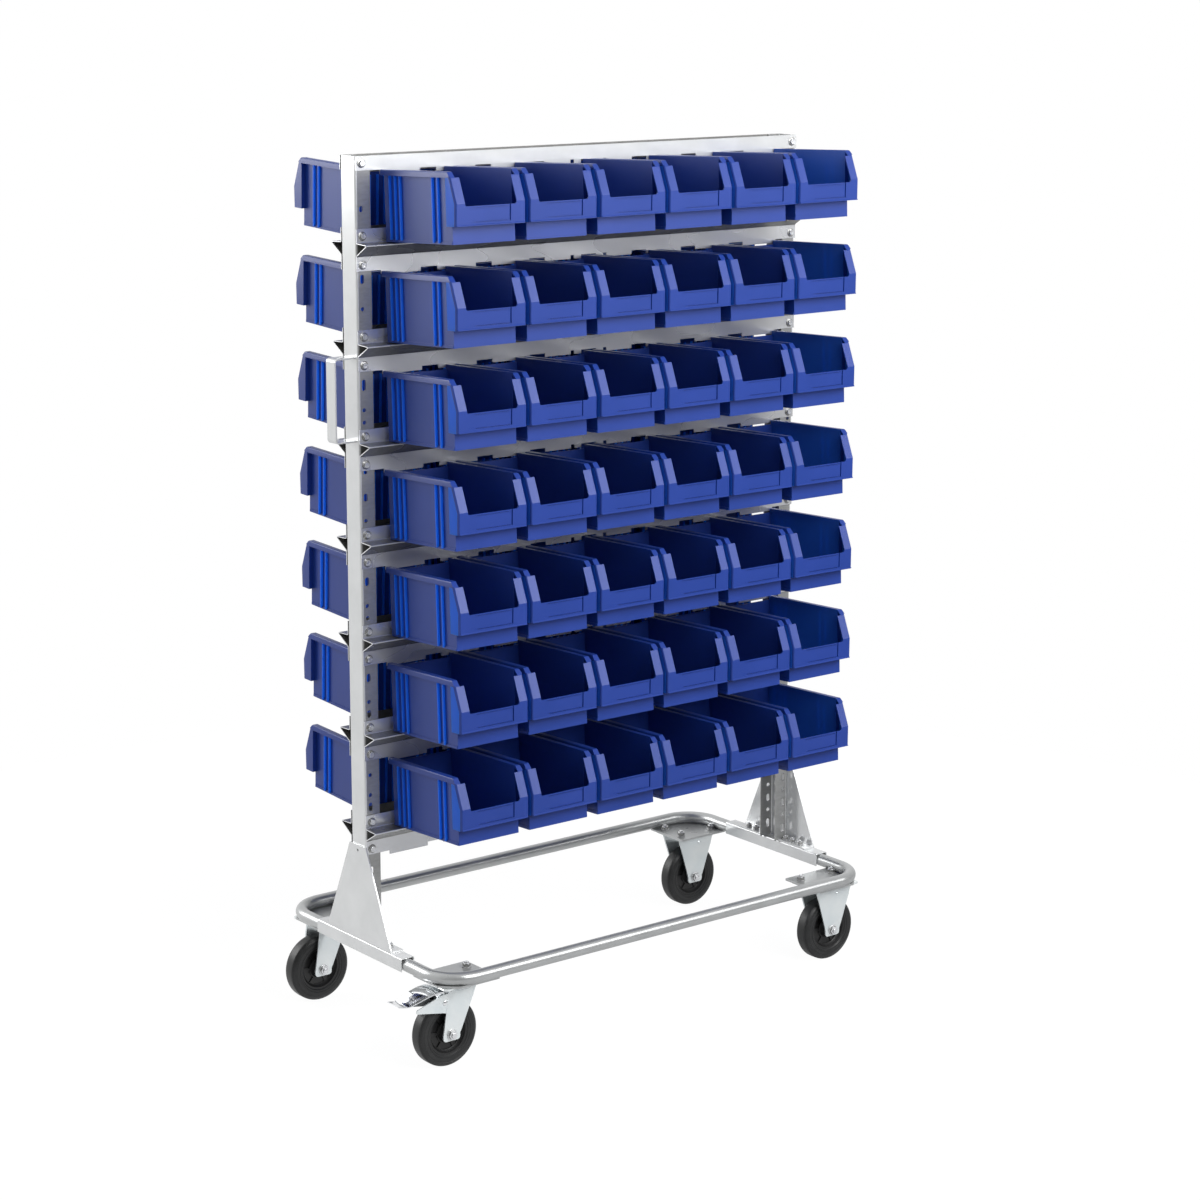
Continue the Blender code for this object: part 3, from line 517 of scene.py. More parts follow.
def hexagon(across, low, high):
    """A hexagon with chamfered corners, as a bolt's head or a nut."""
    radius = across / math.sqrt(3)
    outline = arc((0, 0), radius, 0, FULL / 6 * 5, 5)
    body = moved(prism(outline, high - low), z=(low + high) / 2)
    ease = (high - low) * 0.28
    cone = lathe([(0, high + ease), (radius * 0.62, high + ease * 0.7), (radius * 1.06, high - ease),
                  (radius * 1.06, low - ease), (0, low - ease)], 36)
    return combine(body, cone, "INTERSECT")


def collar_bolt():
    """A hexagon head with a pressed collar and a dished top, facing +Z."""
    collar = lathe([(0, 0.0016), (0.0060, 0.0016), (0.0079, 0.0009), (0.0079, 0), (0, 0)], 40)
    head = hexagon(0.0100, 0.0005, 0.0050)
    dish = lathe([(0, 0.0043), (0.0026, 0.0045), (0.0034, 0.0060), (0, 0.0060)], 28)
    bolt = group([collar, cut(head, dish)])
    # Painted shade on the collar's rim and the head's sides
    return marked(bolt, PAINTED_SHADE, lambda face: face.center.xy.length > 0.0062 or abs(face.normal.z) < 0.3)


def nut_and_bolt(across, height, thread, washer=True):
    """A nut on a washer with the bolt's end standing out of it, facing +Z."""
    parts = []
    base = 0
    if washer:
        base = 0.0014
        parts.append(lathe([(thread * 0.9, base), (across * 0.62, base), (across * 0.66, base * 0.7),
                            (across * 0.66, 0), (thread * 0.9, 0)], 40, closed=True))
    top = base + height
    parts.append(hexagon(across, base, top))
    parts.append(lathe([(0, top + 0.0026), (thread * 0.8, top + 0.0026), (thread, top + 0.0018), (thread, top - 0.001),
                        (0, top - 0.001)], 32))
    return group(parts)


def placed(mesh, matrix):
    mesh = mesh.copy()
    mesh.transform(matrix)
    return mesh


# Frame


def slot_cutter(width, length, depth):
    radius = width / 2
    straight = max(0, (length - width) / 2)
    outline = arc((0, straight), radius, 0, HALF, 8) + arc((0, -straight), radius, HALF, FULL, 8)
    return along_y(prism(outline, depth))


UPRIGHT_HOLES = [(-0.091, 0.0075, 0.011), (-0.212, 0.008, 0.016), (-0.264, 0.0075, 0.0075),
                 (-0.397, 0.0075, 0.020), (-0.441, 0.0075, 0.0075), (-0.463, 0.0075, 0.0075),
                 (-0.551, 0.0075, 0.0075), (-0.596, 0.008, 0.014), (-0.638, 0.0075, 0.0075),
                 (-0.747, 0.008, 0.016), (-0.791, 0.0075, 0.0075), (-0.813, 0.0075, 0.0075),
                 (-0.922, 0.008, 0.016), (-0.966, 0.0075, 0.0075), (-0.988, 0.008, 0.014),
                 (-1.101, 0.0075, 0.0075), (-1.138, 0.0075, 0.0075), (-1.160, 0.008, 0.016),
                 (-1.280, 0.0085, 0.016), (-1.306, 0.0080, 0.0080), (-1.333, 0.0085, 0.016),
                 (-1.358, 0.0080, 0.0080), (-1.386, 0.0085, 0.018)]


def upright_mesh():
    inner = UPRIGHT_FACE - UPRIGHT_SHEET
    outline = [(0, -UPRIGHT_FACE), (UPRIGHT_FLANGE, -UPRIGHT_FACE), (UPRIGHT_FLANGE, -inner),
               (UPRIGHT_SHEET, -inner), (UPRIGHT_SHEET, inner), (UPRIGHT_FLANGE, inner),
               (UPRIGHT_FLANGE, UPRIGHT_FACE), (0, UPRIGHT_FACE)]
    radii = [0.004, 0, 0, 0.002, 0.002, 0, 0, 0.004]
    height = RACK_HEIGHT - FOOT_HEIGHT
    body = moved(prism(fillet(outline, radii, 6), height), z=FOOT_HEIGHT + height / 2)
    cutters = []
    for drop, width, length in UPRIGHT_HOLES:
        hole = slot_cutter(width, length, 2 * UPRIGHT_FACE + 2 * OVER)
        cutters.append(moved(hole, x=HOLE_INSET, z=RACK_HEIGHT + drop))
    mesh = eased(cut(body, group(cutters)), 0.0003, 1, 60)
    # Painted shade: the side flanges and the top faces are marked darker and mottled
    return marked(mesh, PAINTED_SHADE, lambda face: face.center.x > 0.004 or face.normal.z > 0.9, UPRIGHT_PAINTED_SHADE)


def notch_cutters(foot, depth):
    """Blocks over the notches in a rail's lower edge, as (middle, width) along it."""
    pitch, notch = 0.118, 0.035
    spans = [(step * pitch, notch) for step in range(-3, 4)]
    spans += [(side * 0.0375, 0.008) for side in (-1, 1)]
    edge = 4 * pitch - notch / 2
    for side in (-1, 1):
        width = RACK_HALF + OVER - edge
        spans.append((side * (edge + width / 2), width))
    return group([block((middle - width / 2, -OVER, foot - OVER), (middle + width / 2, OVER, foot + depth))
                  for middle, width in spans])


def notched(path):
    body = bent_sheet(path, 2 * RACK_HALF, RAIL_SHEET)
    mesh = smooth(flattened(cut(body, notch_cutters(path[-1][1], 0.007)), 10 * MERGE), 50)
    # Painted shade on the rail's back, top edge and sloping underside
    return marked(mesh, PAINTED_SHADE, painted_shade_on_rail)


def painted_shade_on_rail(face):
    """Whether a rail's face is its back, its top edge or its sloping underside, which get painted shade."""
    normal = face.normal
    return normal.y > 0.5 or normal.z > 0.97 or (normal.z < -0.3 and face.center.z < -0.14)


def ledge_height(out):
    """The height of a rail's sloping ledge, from the row's reference height, some way out from the rail."""
    return -0.1493 - 0.0014 * out / LEDGE_REACH


def bin_rail_mesh():
    path = [(0, -0.125), (0, ledge_height(0)), (LEDGE_REACH, ledge_height(LEDGE_REACH)), (LEDGE_REACH, -0.1537),
            (0, -0.172), (0, -0.205)]
    return notched(fillet(path, [0, 0.0018, 0.0013, 0.0013, 0.003, 0], 4, closed=False))


def rail_bolts_mesh(side_x, side_y):
    levels = [-0.0125]
    for row in range(ROWS):
        levels += [-row * ROW_PITCH - 0.1375, -row * ROW_PITCH - 0.1875]
    head = collar_bolt()
    bolts = []
    for index, level in enumerate(levels):
        turn = Matrix.Rotation(QUARTER * 0.37 * index, 4, "Z")
        face = Matrix.Rotation(QUARTER if side_y < 0 else -QUARTER, 4, "X")
        x = side_x * (RACK_HALF - HOLE_INSET)
        where = Matrix.Translation((x, side_y * RAIL_FACE, RACK_HEIGHT + level))
        bolts.append(placed(head, where @ face @ turn))
    return smooth(group(bolts))


def bracket_mesh():
    """Left foot bracket, about the left upright's outer face."""
    top = FOOT_HEIGHT + 0.177
    sheet = 0.0025
    outline = [(-0.103, FOOT_HEIGHT), (0.103, FOOT_HEIGHT), (0.103, FOOT_HEIGHT + 0.003), (0.026, top), (-0.026, top),
               (-0.103, FOOT_HEIGHT + 0.003)]
    plate = along_x(prism(fillet(outline, [0, 0, 0.006, 0.004, 0.004, 0.006], 5), sheet))
    moved(plate, x=-GAP - sheet / 2)
    low = (-GAP - sheet, -0.103, FOOT_HEIGHT)
    high = (0.0235, 0.103, FOOT_HEIGHT + sheet)
    body = joined(plate, block(low, high))
    clear = UPRIGHT_FACE + GAP
    notch = block((-GAP, -clear, FOOT_HEIGHT - OVER), (0.03, clear, FOOT_HEIGHT + sheet + OVER))
    body = cut(body, notch)
    hole = turned(rod(0.0028, -OVER, OVER, 24), QUARTER, "Y")
    return eased(cut(body, moved(hole, z=top - 0.010)), 0.0006, 2, 40)


def channel_mesh():
    half = 0.014
    inner = half - 0.0015
    low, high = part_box("left_end_channel")
    top = high.z
    under = top - 0.0015
    outline = [(-half, low.z), (-inner, low.z), (-inner, under), (inner, under), (inner, low.z), (half, low.z),
               (half, top), (-half, top)]
    section = fillet(outline, [0, 0, 0.001, 0.001, 0, 0, 0.0025, 0.0025], 5)
    return eased(along_y(prism(section, high.y - low.y)), 0.0003, 1, 60)


def ring_mesh(route, height, radius):
    return drawn([(x, y, height) for x, y in route], False, dimensions="3D", bevel_depth=radius, bevel_resolution=10,
                 use_fill_caps=True)


def base_tube_mesh():
    """The front half of the ring with the two plates that its castors hang from."""
    depth = 0.26025
    height = 0.1703
    corners = [(-BASE_HALF, -GAP / 2), (-BASE_HALF, -depth), (BASE_HALF, -depth), (BASE_HALF, -GAP / 2)]
    tube = ring_mesh(fillet(corners, [0, 0.065, 0.065, 0], 24), height, 0.012)
    seats = []
    for side in (-1, 1):
        outline = [(-0.058, 0.0525), (-0.058, -0.0225), (-0.028, -0.0525), (0.058, -0.0525), (0.058, 0.0525)]
        seat = prism(fillet(outline, [0.003] * 5, 3), 0.004)
        if side > 0:
            seat.transform(Matrix.Scale(-1, 4, (1, 0, 0)))
            seat.flip_normals()
        seat = eased(seat, 0.0006, 2, 40)
        seats.append(moved(seat, side * CASTOR_X, -CASTOR_Y, CASTOR_HEIGHT + GAP + 0.002))
    return smooth(group([tube] + seats))


def base_fasteners(side):
    """Nuts on the castor plates and bolts on the foot brackets of one side of the rack."""
    parts = []
    nut = nut_and_bolt(0.013, 0.0065, 0.004)
    plate_top = CASTOR_HEIGHT + GAP + 0.004
    for x in (-CASTOR_X, CASTOR_X):
        for dx, dy in ((-0.040, 0.026), (0.040, 0.026), (-0.040, -0.026), (0.040, -0.026)):
            y = CASTOR_Y - dy
            if abs(x + dx) > 0.45 and y > CASTOR_Y:
                continue
            turn = Matrix.Rotation(dx * 40 + dy * 90 + x, 4, "Z")
            parts.append(placed(nut, Matrix.Translation((x + dx, side * y, plate_top)) @ turn))
    foot_bolt = nut_and_bolt(0.010, 0.0055, 0.003)
    for x in (-1, 1):
        for index, y in enumerate((0.034, 0.0555, 0.0775)):
            turn = Matrix.Rotation(0.4 * index + x, 4, "Z")
            place = Matrix.Translation((x * 0.4925, side * y, FOOT_HEIGHT + 0.0025))
            parts.append(placed(foot_bolt, place @ turn))
    # Painted shade on the sides of the nuts and bolts
    return marked(smooth(group(parts)), PAINTED_SHADE, lambda face: abs(face.normal.z) < 0.3)


def handle_mesh():
    reach = 0.042
    half = 0.075
    bar = 0.003
    outline = [(-GAP, -half), (-GAP, -half + bar), (bar - reach, -half + bar), (bar - reach, half - bar),
               (-GAP, half - bar), (-GAP, half), (-reach, half), (-reach, -half)]
    radii = [0, 0, 0.004, 0.004, 0, 0, 0.007, 0.007]
    return eased(along_y(prism(fillet(outline, radii, 8), 0.028)), 0.0007, 2, 50)


# Bins


def bin_slice(outline, width, middle=0):
    """An outline in (outward, up) made into a solid across a bin; outward is -Y."""
    return moved(along_x(prism([(-out, up) for out, up in reversed(outline)], width)), x=middle)


def band_front(up):
    """How far the label band's front reaches at a height."""
    return BIN_LENGTH - BAND_LEAN * (BAND_KNEE - up) / (BAND_KNEE - BAND_BOTTOM)


def corner_wedge(side, width):
    """A wedge along a front corner of a bin, up its band and its cheek, that chamfers the corner."""
    half = BIN_WIDTH / 2
    low = Vector((band_front(BAND_BOTTOM - 0.010), BAND_BOTTOM - 0.010))
    knee = Vector((BIN_LENGTH, BAND_KNEE))
    band = (knee - low).normalized()
    cheek = (Vector((CHEEK_TOP, RIM_BOTTOM)) - knee).normalized()
    inwards = [Vector((-band.y, band.x)), Vector((-cheek.y, cheek.x))]
    mitre = (inwards[0] + inwards[1]) / (1 + inwards[0].dot(inwards[1]))
    bm = bmesh.new()
    rings = []
    for point, inward in ((low, inwards[0]), (knee, mitre), (knee + cheek * 0.0480, inwards[1])):
        ring = []
        for x, share in ((half - 1.4 * width, -0.4), (half + 0.4 * width, 1.4), (half + 2 * width, -2.0)):
            out, up = point + inward * width * share
            ring.append(bm.verts.new((side * x, -out, up)))
        rings.append(ring)
    for ring, following in zip(rings, rings[1:]):
        for index in range(3):
            after = (index + 1) % 3
            bm.faces.new((ring[index], ring[after], following[after], following[index]))
    bm.faces.new(rings[0])
    bm.faces.new(rings[-1])
    bmesh.ops.recalc_face_normals(bm, faces=bm.faces)
    return finished(bm)


def bin_ribs():
    """The slim ribs on a bin's side walls and back."""
    ribs = []
    for side in (-1, 1):
        near, far = sorted((side * (TUB_HALF - WALL / 2), side * (TUB_HALF + 0.0042)))
        for out in (0.0203, 0.0365, 0.0515, 0.149, 0.165):
            ribs.append(block((near, -out - RIB_HALF, 0.0045), (far, -out + RIB_HALF, 0.118)))
    for x in (-0.058, -0.042, -0.027, 0.027, 0.042, 0.058):
        ribs.append(block((x - RIB_HALF, -WALL / 2, 0.014), (x + RIB_HALF, 0.0040, 0.112)))
    return group(ribs)


def bin_mesh():
    """A bin about the foot of its back: built up as a solid, then hollowed."""
    ahead, above = 0.24, 0.14
    front = BIN_LENGTH - 0.0003
    lip_back = BIN_LENGTH - 0.004
    outer = [(0, RIM_BOTTOM), (FRAME_BACK, RIM_BOTTOM), (FRAME_BACK, BAND_BOTTOM),
             (band_front(BAND_BOTTOM), BAND_BOTTOM), (BIN_LENGTH, BAND_KNEE), (CHEEK_TOP, RIM_BOTTOM),
             (RIM_END + 0.002, BIN_HEIGHT), (0, BIN_HEIGHT)]
    outer = bin_slice(fillet(outer, [0, 0, 0, 0, 0.002, 0.005, 0.003, 0], 4), BIN_WIDTH)
    body = cut(outer, group([corner_wedge(side, CHAMFER) for side in (-1, 1)]))
    body = combine(body, rim_envelope(), "INTERSECT")
    tub = [(0, 0), (TUB_LENGTH, WALL), (TUB_LENGTH, BAND_TOP), (RIM_END, BIN_HEIGHT - WALL), (0, BIN_HEIGHT - WALL)]
    body = joined(body, bin_slice(tub, 2 * TUB_HALF))
    lip = [(lip_back, BAND_BOTTOM), (front, BAND_BOTTOM), (front, BAND_BOTTOM + 0.0010),
           (BIN_LENGTH - 0.0022, BAND_BOTTOM + 0.0028), (lip_back, BAND_BOTTOM + 0.0028)]
    body = joined(body, bin_slice(lip, BIN_WIDTH - 0.0062))
    ribs = bin_ribs()
    body = joined(body, ribs)
    plinth = [(0.0012, 0.0002), (TUB_LENGTH - 0.0012, WALL + 0.0002), (TUB_LENGTH - 0.0012, 0.0075), (0.0012, 0.005)]
    body = joined(body, bin_slice(plinth, 2 * TUB_HALF + 0.0022))
    # The side rims are hollow and open downwards; the ribs go on through them.
    hollows = []
    for side in (-1, 1):
        near, far = sorted((side * TUB_HALF, side * (BIN_WIDTH / 2 - WALL)))
        hollows.append(block((near, -FRAME_BACK, 0.10), (far, -0.0022, BIN_HEIGHT - 0.0026)))
    body = joined(cut(body, group(hollows)), ribs)
    # The tub's inside, the wider front frame's inside and the way between the two.
    tub_inside = 2 * (TUB_HALF - WALL)
    front_in = TUB_LENGTH - WALL
    narrow = [(WALL, 0.003), (front_in, 0.0055), (front_in, RIM_BOTTOM), (front_in, above), (-OVER, above),
              (-OVER, 0.117), (WALL, 0.117)]
    body = cut(body, bin_slice(fillet(narrow, [0.003, 0.003, 0, 0, 0, 0, 0], 3), tub_inside))
    step = BAND_BOTTOM + WALL
    wide = [(FRAME_BACK + WALL, step), (band_front(step) - WALL, step), (BIN_LENGTH - WALL, BAND_KNEE),
            (CHEEK_TOP - WALL, RIM_BOTTOM), (CHEEK_TOP - 0.010, BIN_HEIGHT - WALL),
            (FRAME_BACK + WALL, BIN_HEIGHT - WALL)]
    wide = fillet(wide, [0.001, 0.001, 0.002, 0.002, 0.001, 0.001], 2)
    body = cut(body, bin_slice(wide, BIN_WIDTH - 2 * WALL))
    body = cut(body, bin_slice(rectangle(FRAME_BACK, RIM_BOTTOM, ahead, above), tub_inside))
    mouth_half = BIN_WIDTH / 2 - 0.020
    mouth = fillet(rectangle(-mouth_half, BAND_TOP, mouth_half, 0.16), [0.004, 0.004, 0, 0], 4)
    body = cut(body, moved(along_y(prism(mouth, 0.06)), y=-0.225))
    # The label field on the band: a shallow recess, a slot above and below it and a groove at its right end.
    for low, high, depth, width, middle in ((0.0412, 0.0632, 0.0007, 0.086, -0.004),
                                            (0.0394, 0.0406, 0.0022, 0.074, 0.002),
                                            (0.0638, 0.0647, 0.0018, 0.078, 0.000),
                                            (0.0394, 0.0690, 0.0024, 0.0026, 0.0400)):
        hollow = [(band_front(low) - depth, low), (ahead, low), (ahead, high), (band_front(high) - depth, high)]
        body = cut(body, bin_slice(hollow, width, middle))
    # The ribs get more translucency and a painted glow
    return marked(smooth(flattened(body, 3 * MERGE), 45), GLOW_AND_TRANSLUCENCY, on_rib)


def rim_envelope():
    """The space that a bin fits in: the rims' outer faces lean in a little and end in a round."""
    half = BIN_WIDTH / 2
    lean = 0.0013
    outline = [(-half, -OVER), (half, -OVER), (half, RIM_BOTTOM), (half - lean, BIN_HEIGHT), (lean - half, BIN_HEIGHT),
               (-half, RIM_BOTTOM)]
    profile = along_y(prism(fillet(outline, [0, 0, 0, 0.0026, 0.0026, 0], 5), 0.3))
    return moved(profile, y=-0.12)


def on_rib(face):
    """Whether a bin's face is one of its ribs', which let light through and get a painted glow."""
    x, y, z = face.center
    on_side = abs(x) > TUB_HALF + 0.0004 and -FRAME_BACK + 0.002 < y < -0.012
    return (on_side or y > 0.0004) and 0.008 < z < RIM_BOTTOM - 0.0002


def with_painted_wall_glow(mesh, side):
    """A copy of the bin whose one side wall stands against open light: more of it shows through the wall, and a glow is
    painted into the wall's inside.
    """
    inner = TUB_HALF - WALL
    mesh = mesh.copy()
    layer = mesh.attributes[GLOW_AND_TRANSLUCENCY]
    for face in mesh.polygons:
        x = side * face.center.x
        if side * face.normal.x < -0.9 and x > inner - 0.0005 and -face.center.y > WALL:
            layer.data[face.index].value = PAINTED_WALL_GLOW
    return mesh


def add_bins(plastic):
    mesh = bin_mesh()
    by_wall = {0: mesh, -1: with_painted_wall_glow(mesh, -1), 1: with_painted_wall_glow(mesh, 1)}
    for name, side in SIDES:
        turn = 0 if side < 0 else HALF
        y = side * (RAIL_FACE + BIN_STAND_OFF)
        for row in range(ROWS):
            z = RACK_HEIGHT - row * ROW_PITCH + ledge_height(BIN_STAND_OFF) + GAP
            for index in range(BINS_PER_ROW):
                x = (index - (BINS_PER_ROW - 1) / 2) * BIN_PITCH
                single = side < 0 and row == 0
                number = str(index + 1)
                node = name + ("_bin_" + number if single else "_bin_row_" + str(row + 1))
                body = node + "_body" if single else "rack"
                label = name + "_row_" + str(row + 1) + "_bin_" + number + "_looks"
                # The end bins take the copy with a painted glow on their open side wall
                outer = (index == BINS_PER_ROW - 1) - (index == 0)
                piece(label, by_wall[-side * outer], plastic, body, (node,), (x, y, z), turn, -BIN_TILT)


# Castors


def tyre_mesh():
    """Tyre about Z: flat tread with two raised lines by each shoulder, ringed sides."""
    r = WHEEL_RADIUS
    upper = [(0.0405, 0.0125), (0.0425, 0.0148), (0.0445, 0.0150), (0.0450, 0.0144), (0.0462, 0.0144),
             (0.0468, 0.0152), (0.0525, 0.0155), (0.0530, 0.0150), (0.0540, 0.0150), (0.0545, 0.0154),
             (0.0572, 0.0148), (0.0590, 0.0136), (0.0598, 0.0130), (0.0596, 0.0126), (0.0606, 0.0122),
             (0.0610, 0.0116), (0.0608, 0.0110), (0.0617, 0.0104), (0.0622, 0.0090), (r - 0.0001, 0.006)]
    profile = upper + [(r, 0.0)] + mirrored(upper)
    return smooth(turned(lathe(profile, 96, closed=True), QUARTER, "X"), 35)


def rim_mesh():
    """The wheel's plastic centre: a dished disc with six openings and a hub."""
    upper = [(0.0062, 0.0193), (0.0120, 0.0193), (0.0150, 0.0175), (0.0168, 0.0100), (0.0190, 0.0068),
             (0.0330, 0.0060), (0.0352, 0.0080), (0.0375, 0.0122), (0.0412, 0.0128)]
    pockets = []
    for side in (-1, 1):
        for step in range(6):
            start = FULL / 6 * step + 0.13
            end = FULL / 6 * (step + 1) - 0.13
            outline = arc((0, 0), 0.0325, start, end, 6) + arc((0, 0), 0.0205, end, start, 4)
            pockets.append(moved(prism(outline, 0.008), z=side * 0.0082))
    body = cut(lathe(upper + mirrored(upper), 96, closed=True), group(pockets))
    return smooth(turned(body, QUARTER, "X"), 35)


def axle_mesh():
    parts = [turned(rod(0.005, -0.0300, 0.0300, 24), QUARTER, "X")]
    for side in (-1, 1):
        nut = nut_and_bolt(0.015, 0.0048, 0.0048, washer=side < 0)
        nut.transform(Matrix.Translation((0, side * 0.0243, 0)) @ Matrix.Rotation(-side * QUARTER, 4, "X"))
        parts.append(nut)
    # Painted shade on the sides of the nuts
    return marked(smooth(group(parts)), PAINTED_SHADE, lambda face: abs(face.normal.y) < 0.3)


LEG_OUTSIDE = 0.024
LEG_FOOT = WHEEL_RADIUS - 0.0115
FOOT_ROUND = 0.006
ROUND_TOP = LEG_FOOT + FOOT_ROUND


def leg_half(z, top_half):
    """Half the width of a pressed leg at a height: tapering, with a blunt foot below the axle."""
    foot = 0.0178
    if z < ROUND_TOP:
        return foot - FOOT_ROUND + math.sqrt(max(FOOT_ROUND ** 2 - (ROUND_TOP - z) ** 2, 0))
    return foot + (top_half - foot) * leg_share(z)


def leg_share(z):
    return max(0, z - WHEEL_RADIUS) / (CASTOR_HEIGHT - WHEEL_RADIUS)


def rise(z, start, height):
    """How far up a stretch of some height z is, from 0 to 1."""
    return min(1, max(0, (z - start) / height))


def pressed_leg(side, top, top_half, flare, rake=0.0):
    """A leg with a flat panel down its middle and wings bent inwards, widest at the top.

    flare moves its top outwards; rake moves it along X, so that the leg leans from the crown to the axle.
    """
    heights = [LEG_FOOT + FOOT_ROUND * (1 - math.cos(math.radians(angle))) for angle in range(0, 90, 15)]
    heights += [ROUND_TOP + (top - ROUND_TOP) * step / 16 for step in range(17)]
    rows = []
    for z in heights:
        half = leg_half(z, top_half)
        panel = min(0.0135, half * 0.92)
        edge = 0.35 * (half - panel)
        middle = rake * max(0, z - WHEEL_RADIUS) / (top - WHEEL_RADIUS)
        bend = 0.0042 * rise(z, 0.072, 0.050) + 0.002 * rise(z, 0.127, 0.012)
        xs = [-half, edge - half, -panel, 0, panel, half - edge, half]
        inwards = [bend, 0.65 * bend, 0, 0, 0, 0.65 * bend, bend]
        outside = LEG_OUTSIDE + flare * leg_share(z)
        rows.append([(middle + x, side * (outside - inward), z) for x, inward in zip(xs, inwards)])
    bm = strips(rows)
    bmesh.ops.recalc_face_normals(bm, faces=bm.faces)
    if sum(face.normal.y for face in bm.faces) * side < 0:
        bmesh.ops.reverse_faces(bm, faces=bm.faces)
    sheet = modified(finished(bm), "SOLIDIFY", thickness=0.003, offset=-1)
    return smooth(rounded(sheet, 0.0006, 2, 50), 14)


def leg_rivet(side, flare, x, z):
    """A small domed rivet on a leg's outer face."""
    radius = 0.0038
    dome = lathe([(0, 0.0014), (radius * 0.6, 0.0012), (radius, 0.0002), (radius, -0.0005), (0, -0.0005)], 28)
    return moved(turned(dome, -side * QUARTER, "X"), x, side * (LEG_OUTSIDE + flare * leg_share(z)), z)


def fork_mesh(with_arm):
    """Swivel fork about its swivel axis: two pressed legs that lean back to the axle, and a crown."""
    flare = 0.0065
    parts = []
    for side in (-1, 1):
        parts.append(moved(pressed_leg(side, 0.1432, 0.032, flare, TRAIL - 0.004), x=-TRAIL))
        if with_arm:
            outline = [(-0.046, 0.1400), (-0.030, 0.1400), (-0.030, 0.1020), (-0.046, 0.1060), (-0.102, 0.1165),
                       (-0.102, 0.1230)]
            arm = along_y(prism(fillet(outline, [0.004, 0, 0, 0.006, 0.003, 0.004], 5), 0.0028))
            parts.append(eased(moved(arm, y=side * 0.0224), 0.0006, 2, 40))
        else:
            parts.append(leg_rivet(side, flare, -0.010, 0.128))
    crown = prism(fillet(rectangle(-0.036, -0.0292, 0.0255, 0.0292), [0.004, 0.010, 0.010, 0.004], 6), 0.003)
    parts.append(eased(moved(crown, z=0.1442), 0.0007, 2, 40))
    parts.append(lathe([(0, 0.1462), (0.0120, 0.1462), (0.0200, 0.1457), (0.0200, 0.1427), (0, 0.1427)], 48))
    return smooth(group(parts), 25)


def castor_plate():
    outline = fillet(rectangle(-0.0525, -0.0425, 0.0525, 0.0425), [0.008] * 4, 6)
    plate = moved(prism(outline, 0.003), z=CASTOR_HEIGHT - 0.0015)
    holes = [moved(rod(0.0045, -OVER, OVER, 24), x, y, CASTOR_HEIGHT) for x in (-0.040, 0.040) for y in (-0.026, 0.026)]
    return eased(cut(plate, group(holes)), 0.0006, 2, 40)


def swivel_plate_mesh():
    race = lathe([(0, 0.1463), (0.0222, 0.1463), (0.0250, 0.1470), (0.0260, 0.1490), (0.0255, 0.1520), (0, 0.1525)], 64)
    return smooth(group([castor_plate(), race]))


def fixed_bracket_mesh():
    """Fixed castor's pressing: a top plate and two tapered legs with folded wings."""
    parts = [castor_plate()]
    for side in (-1, 1):
        parts.append(pressed_leg(side, CASTOR_HEIGHT - 0.0032, 0.0475, 0.010))
        parts.append(leg_rivet(side, 0.010, 0.004, 0.138))
    return smooth(group(parts), 25)


def pedal_mesh():
    """Brake pedal about its pivot: a domed pressing with a turned-down edge and a toe."""
    path = [(0.044, 0.1480), (0.052, 0.1494), (0.060, 0.1493), (0.080, 0.1455), (0.100, 0.1395), (0.114, 0.1345),
            (0.122, 0.1335), (0.1355, 0.1366)]
    halves = [0.0250, 0.0258, 0.0260, 0.0255, 0.0240, 0.0215, 0.0195, 0.0175]
    rows = []
    for (reach, height), half in zip(path, halves):
        crown = 0.0020 if reach < 0.118 else 0.0004
        rows.append([(PEDAL_REACH - reach, half * share, height - PEDAL_HEIGHT - crown * share * share)
                     for share in (-1.0, -0.8, -0.4, 0.0, 0.4, 0.8, 1.0)])
    tread = modified(finished(strips(rows)), "SUBSURF", levels=2, render_levels=2, boundary_smooth="PRESERVE_CORNERS")
    parts = [weld(modified(tread, "SOLIDIFY", thickness=0.0018, offset=-1))]
    for side in (-1, 1):
        outline = [(-0.022, 0.0215)] + arc((0, 0), 0.006, HALF, FULL, 12) + [(0.0, 0.0225)]
        ear = moved(along_y(prism(outline, 0.0025)), y=side * 0.01895)
        parts.append(eased(ear, 0.0005, 2, 40))
        cap = lathe([(0, 0.0262), (0.0030, 0.0260), (0.0042, 0.0252), (0.0045, 0.0243), (0, 0.0243)], 28)
        parts += [turned(part, -side * QUARTER, "X") for part in (rod(0.003, 0.018, 0.0246, 24), cap)]
    return smooth(group(parts))


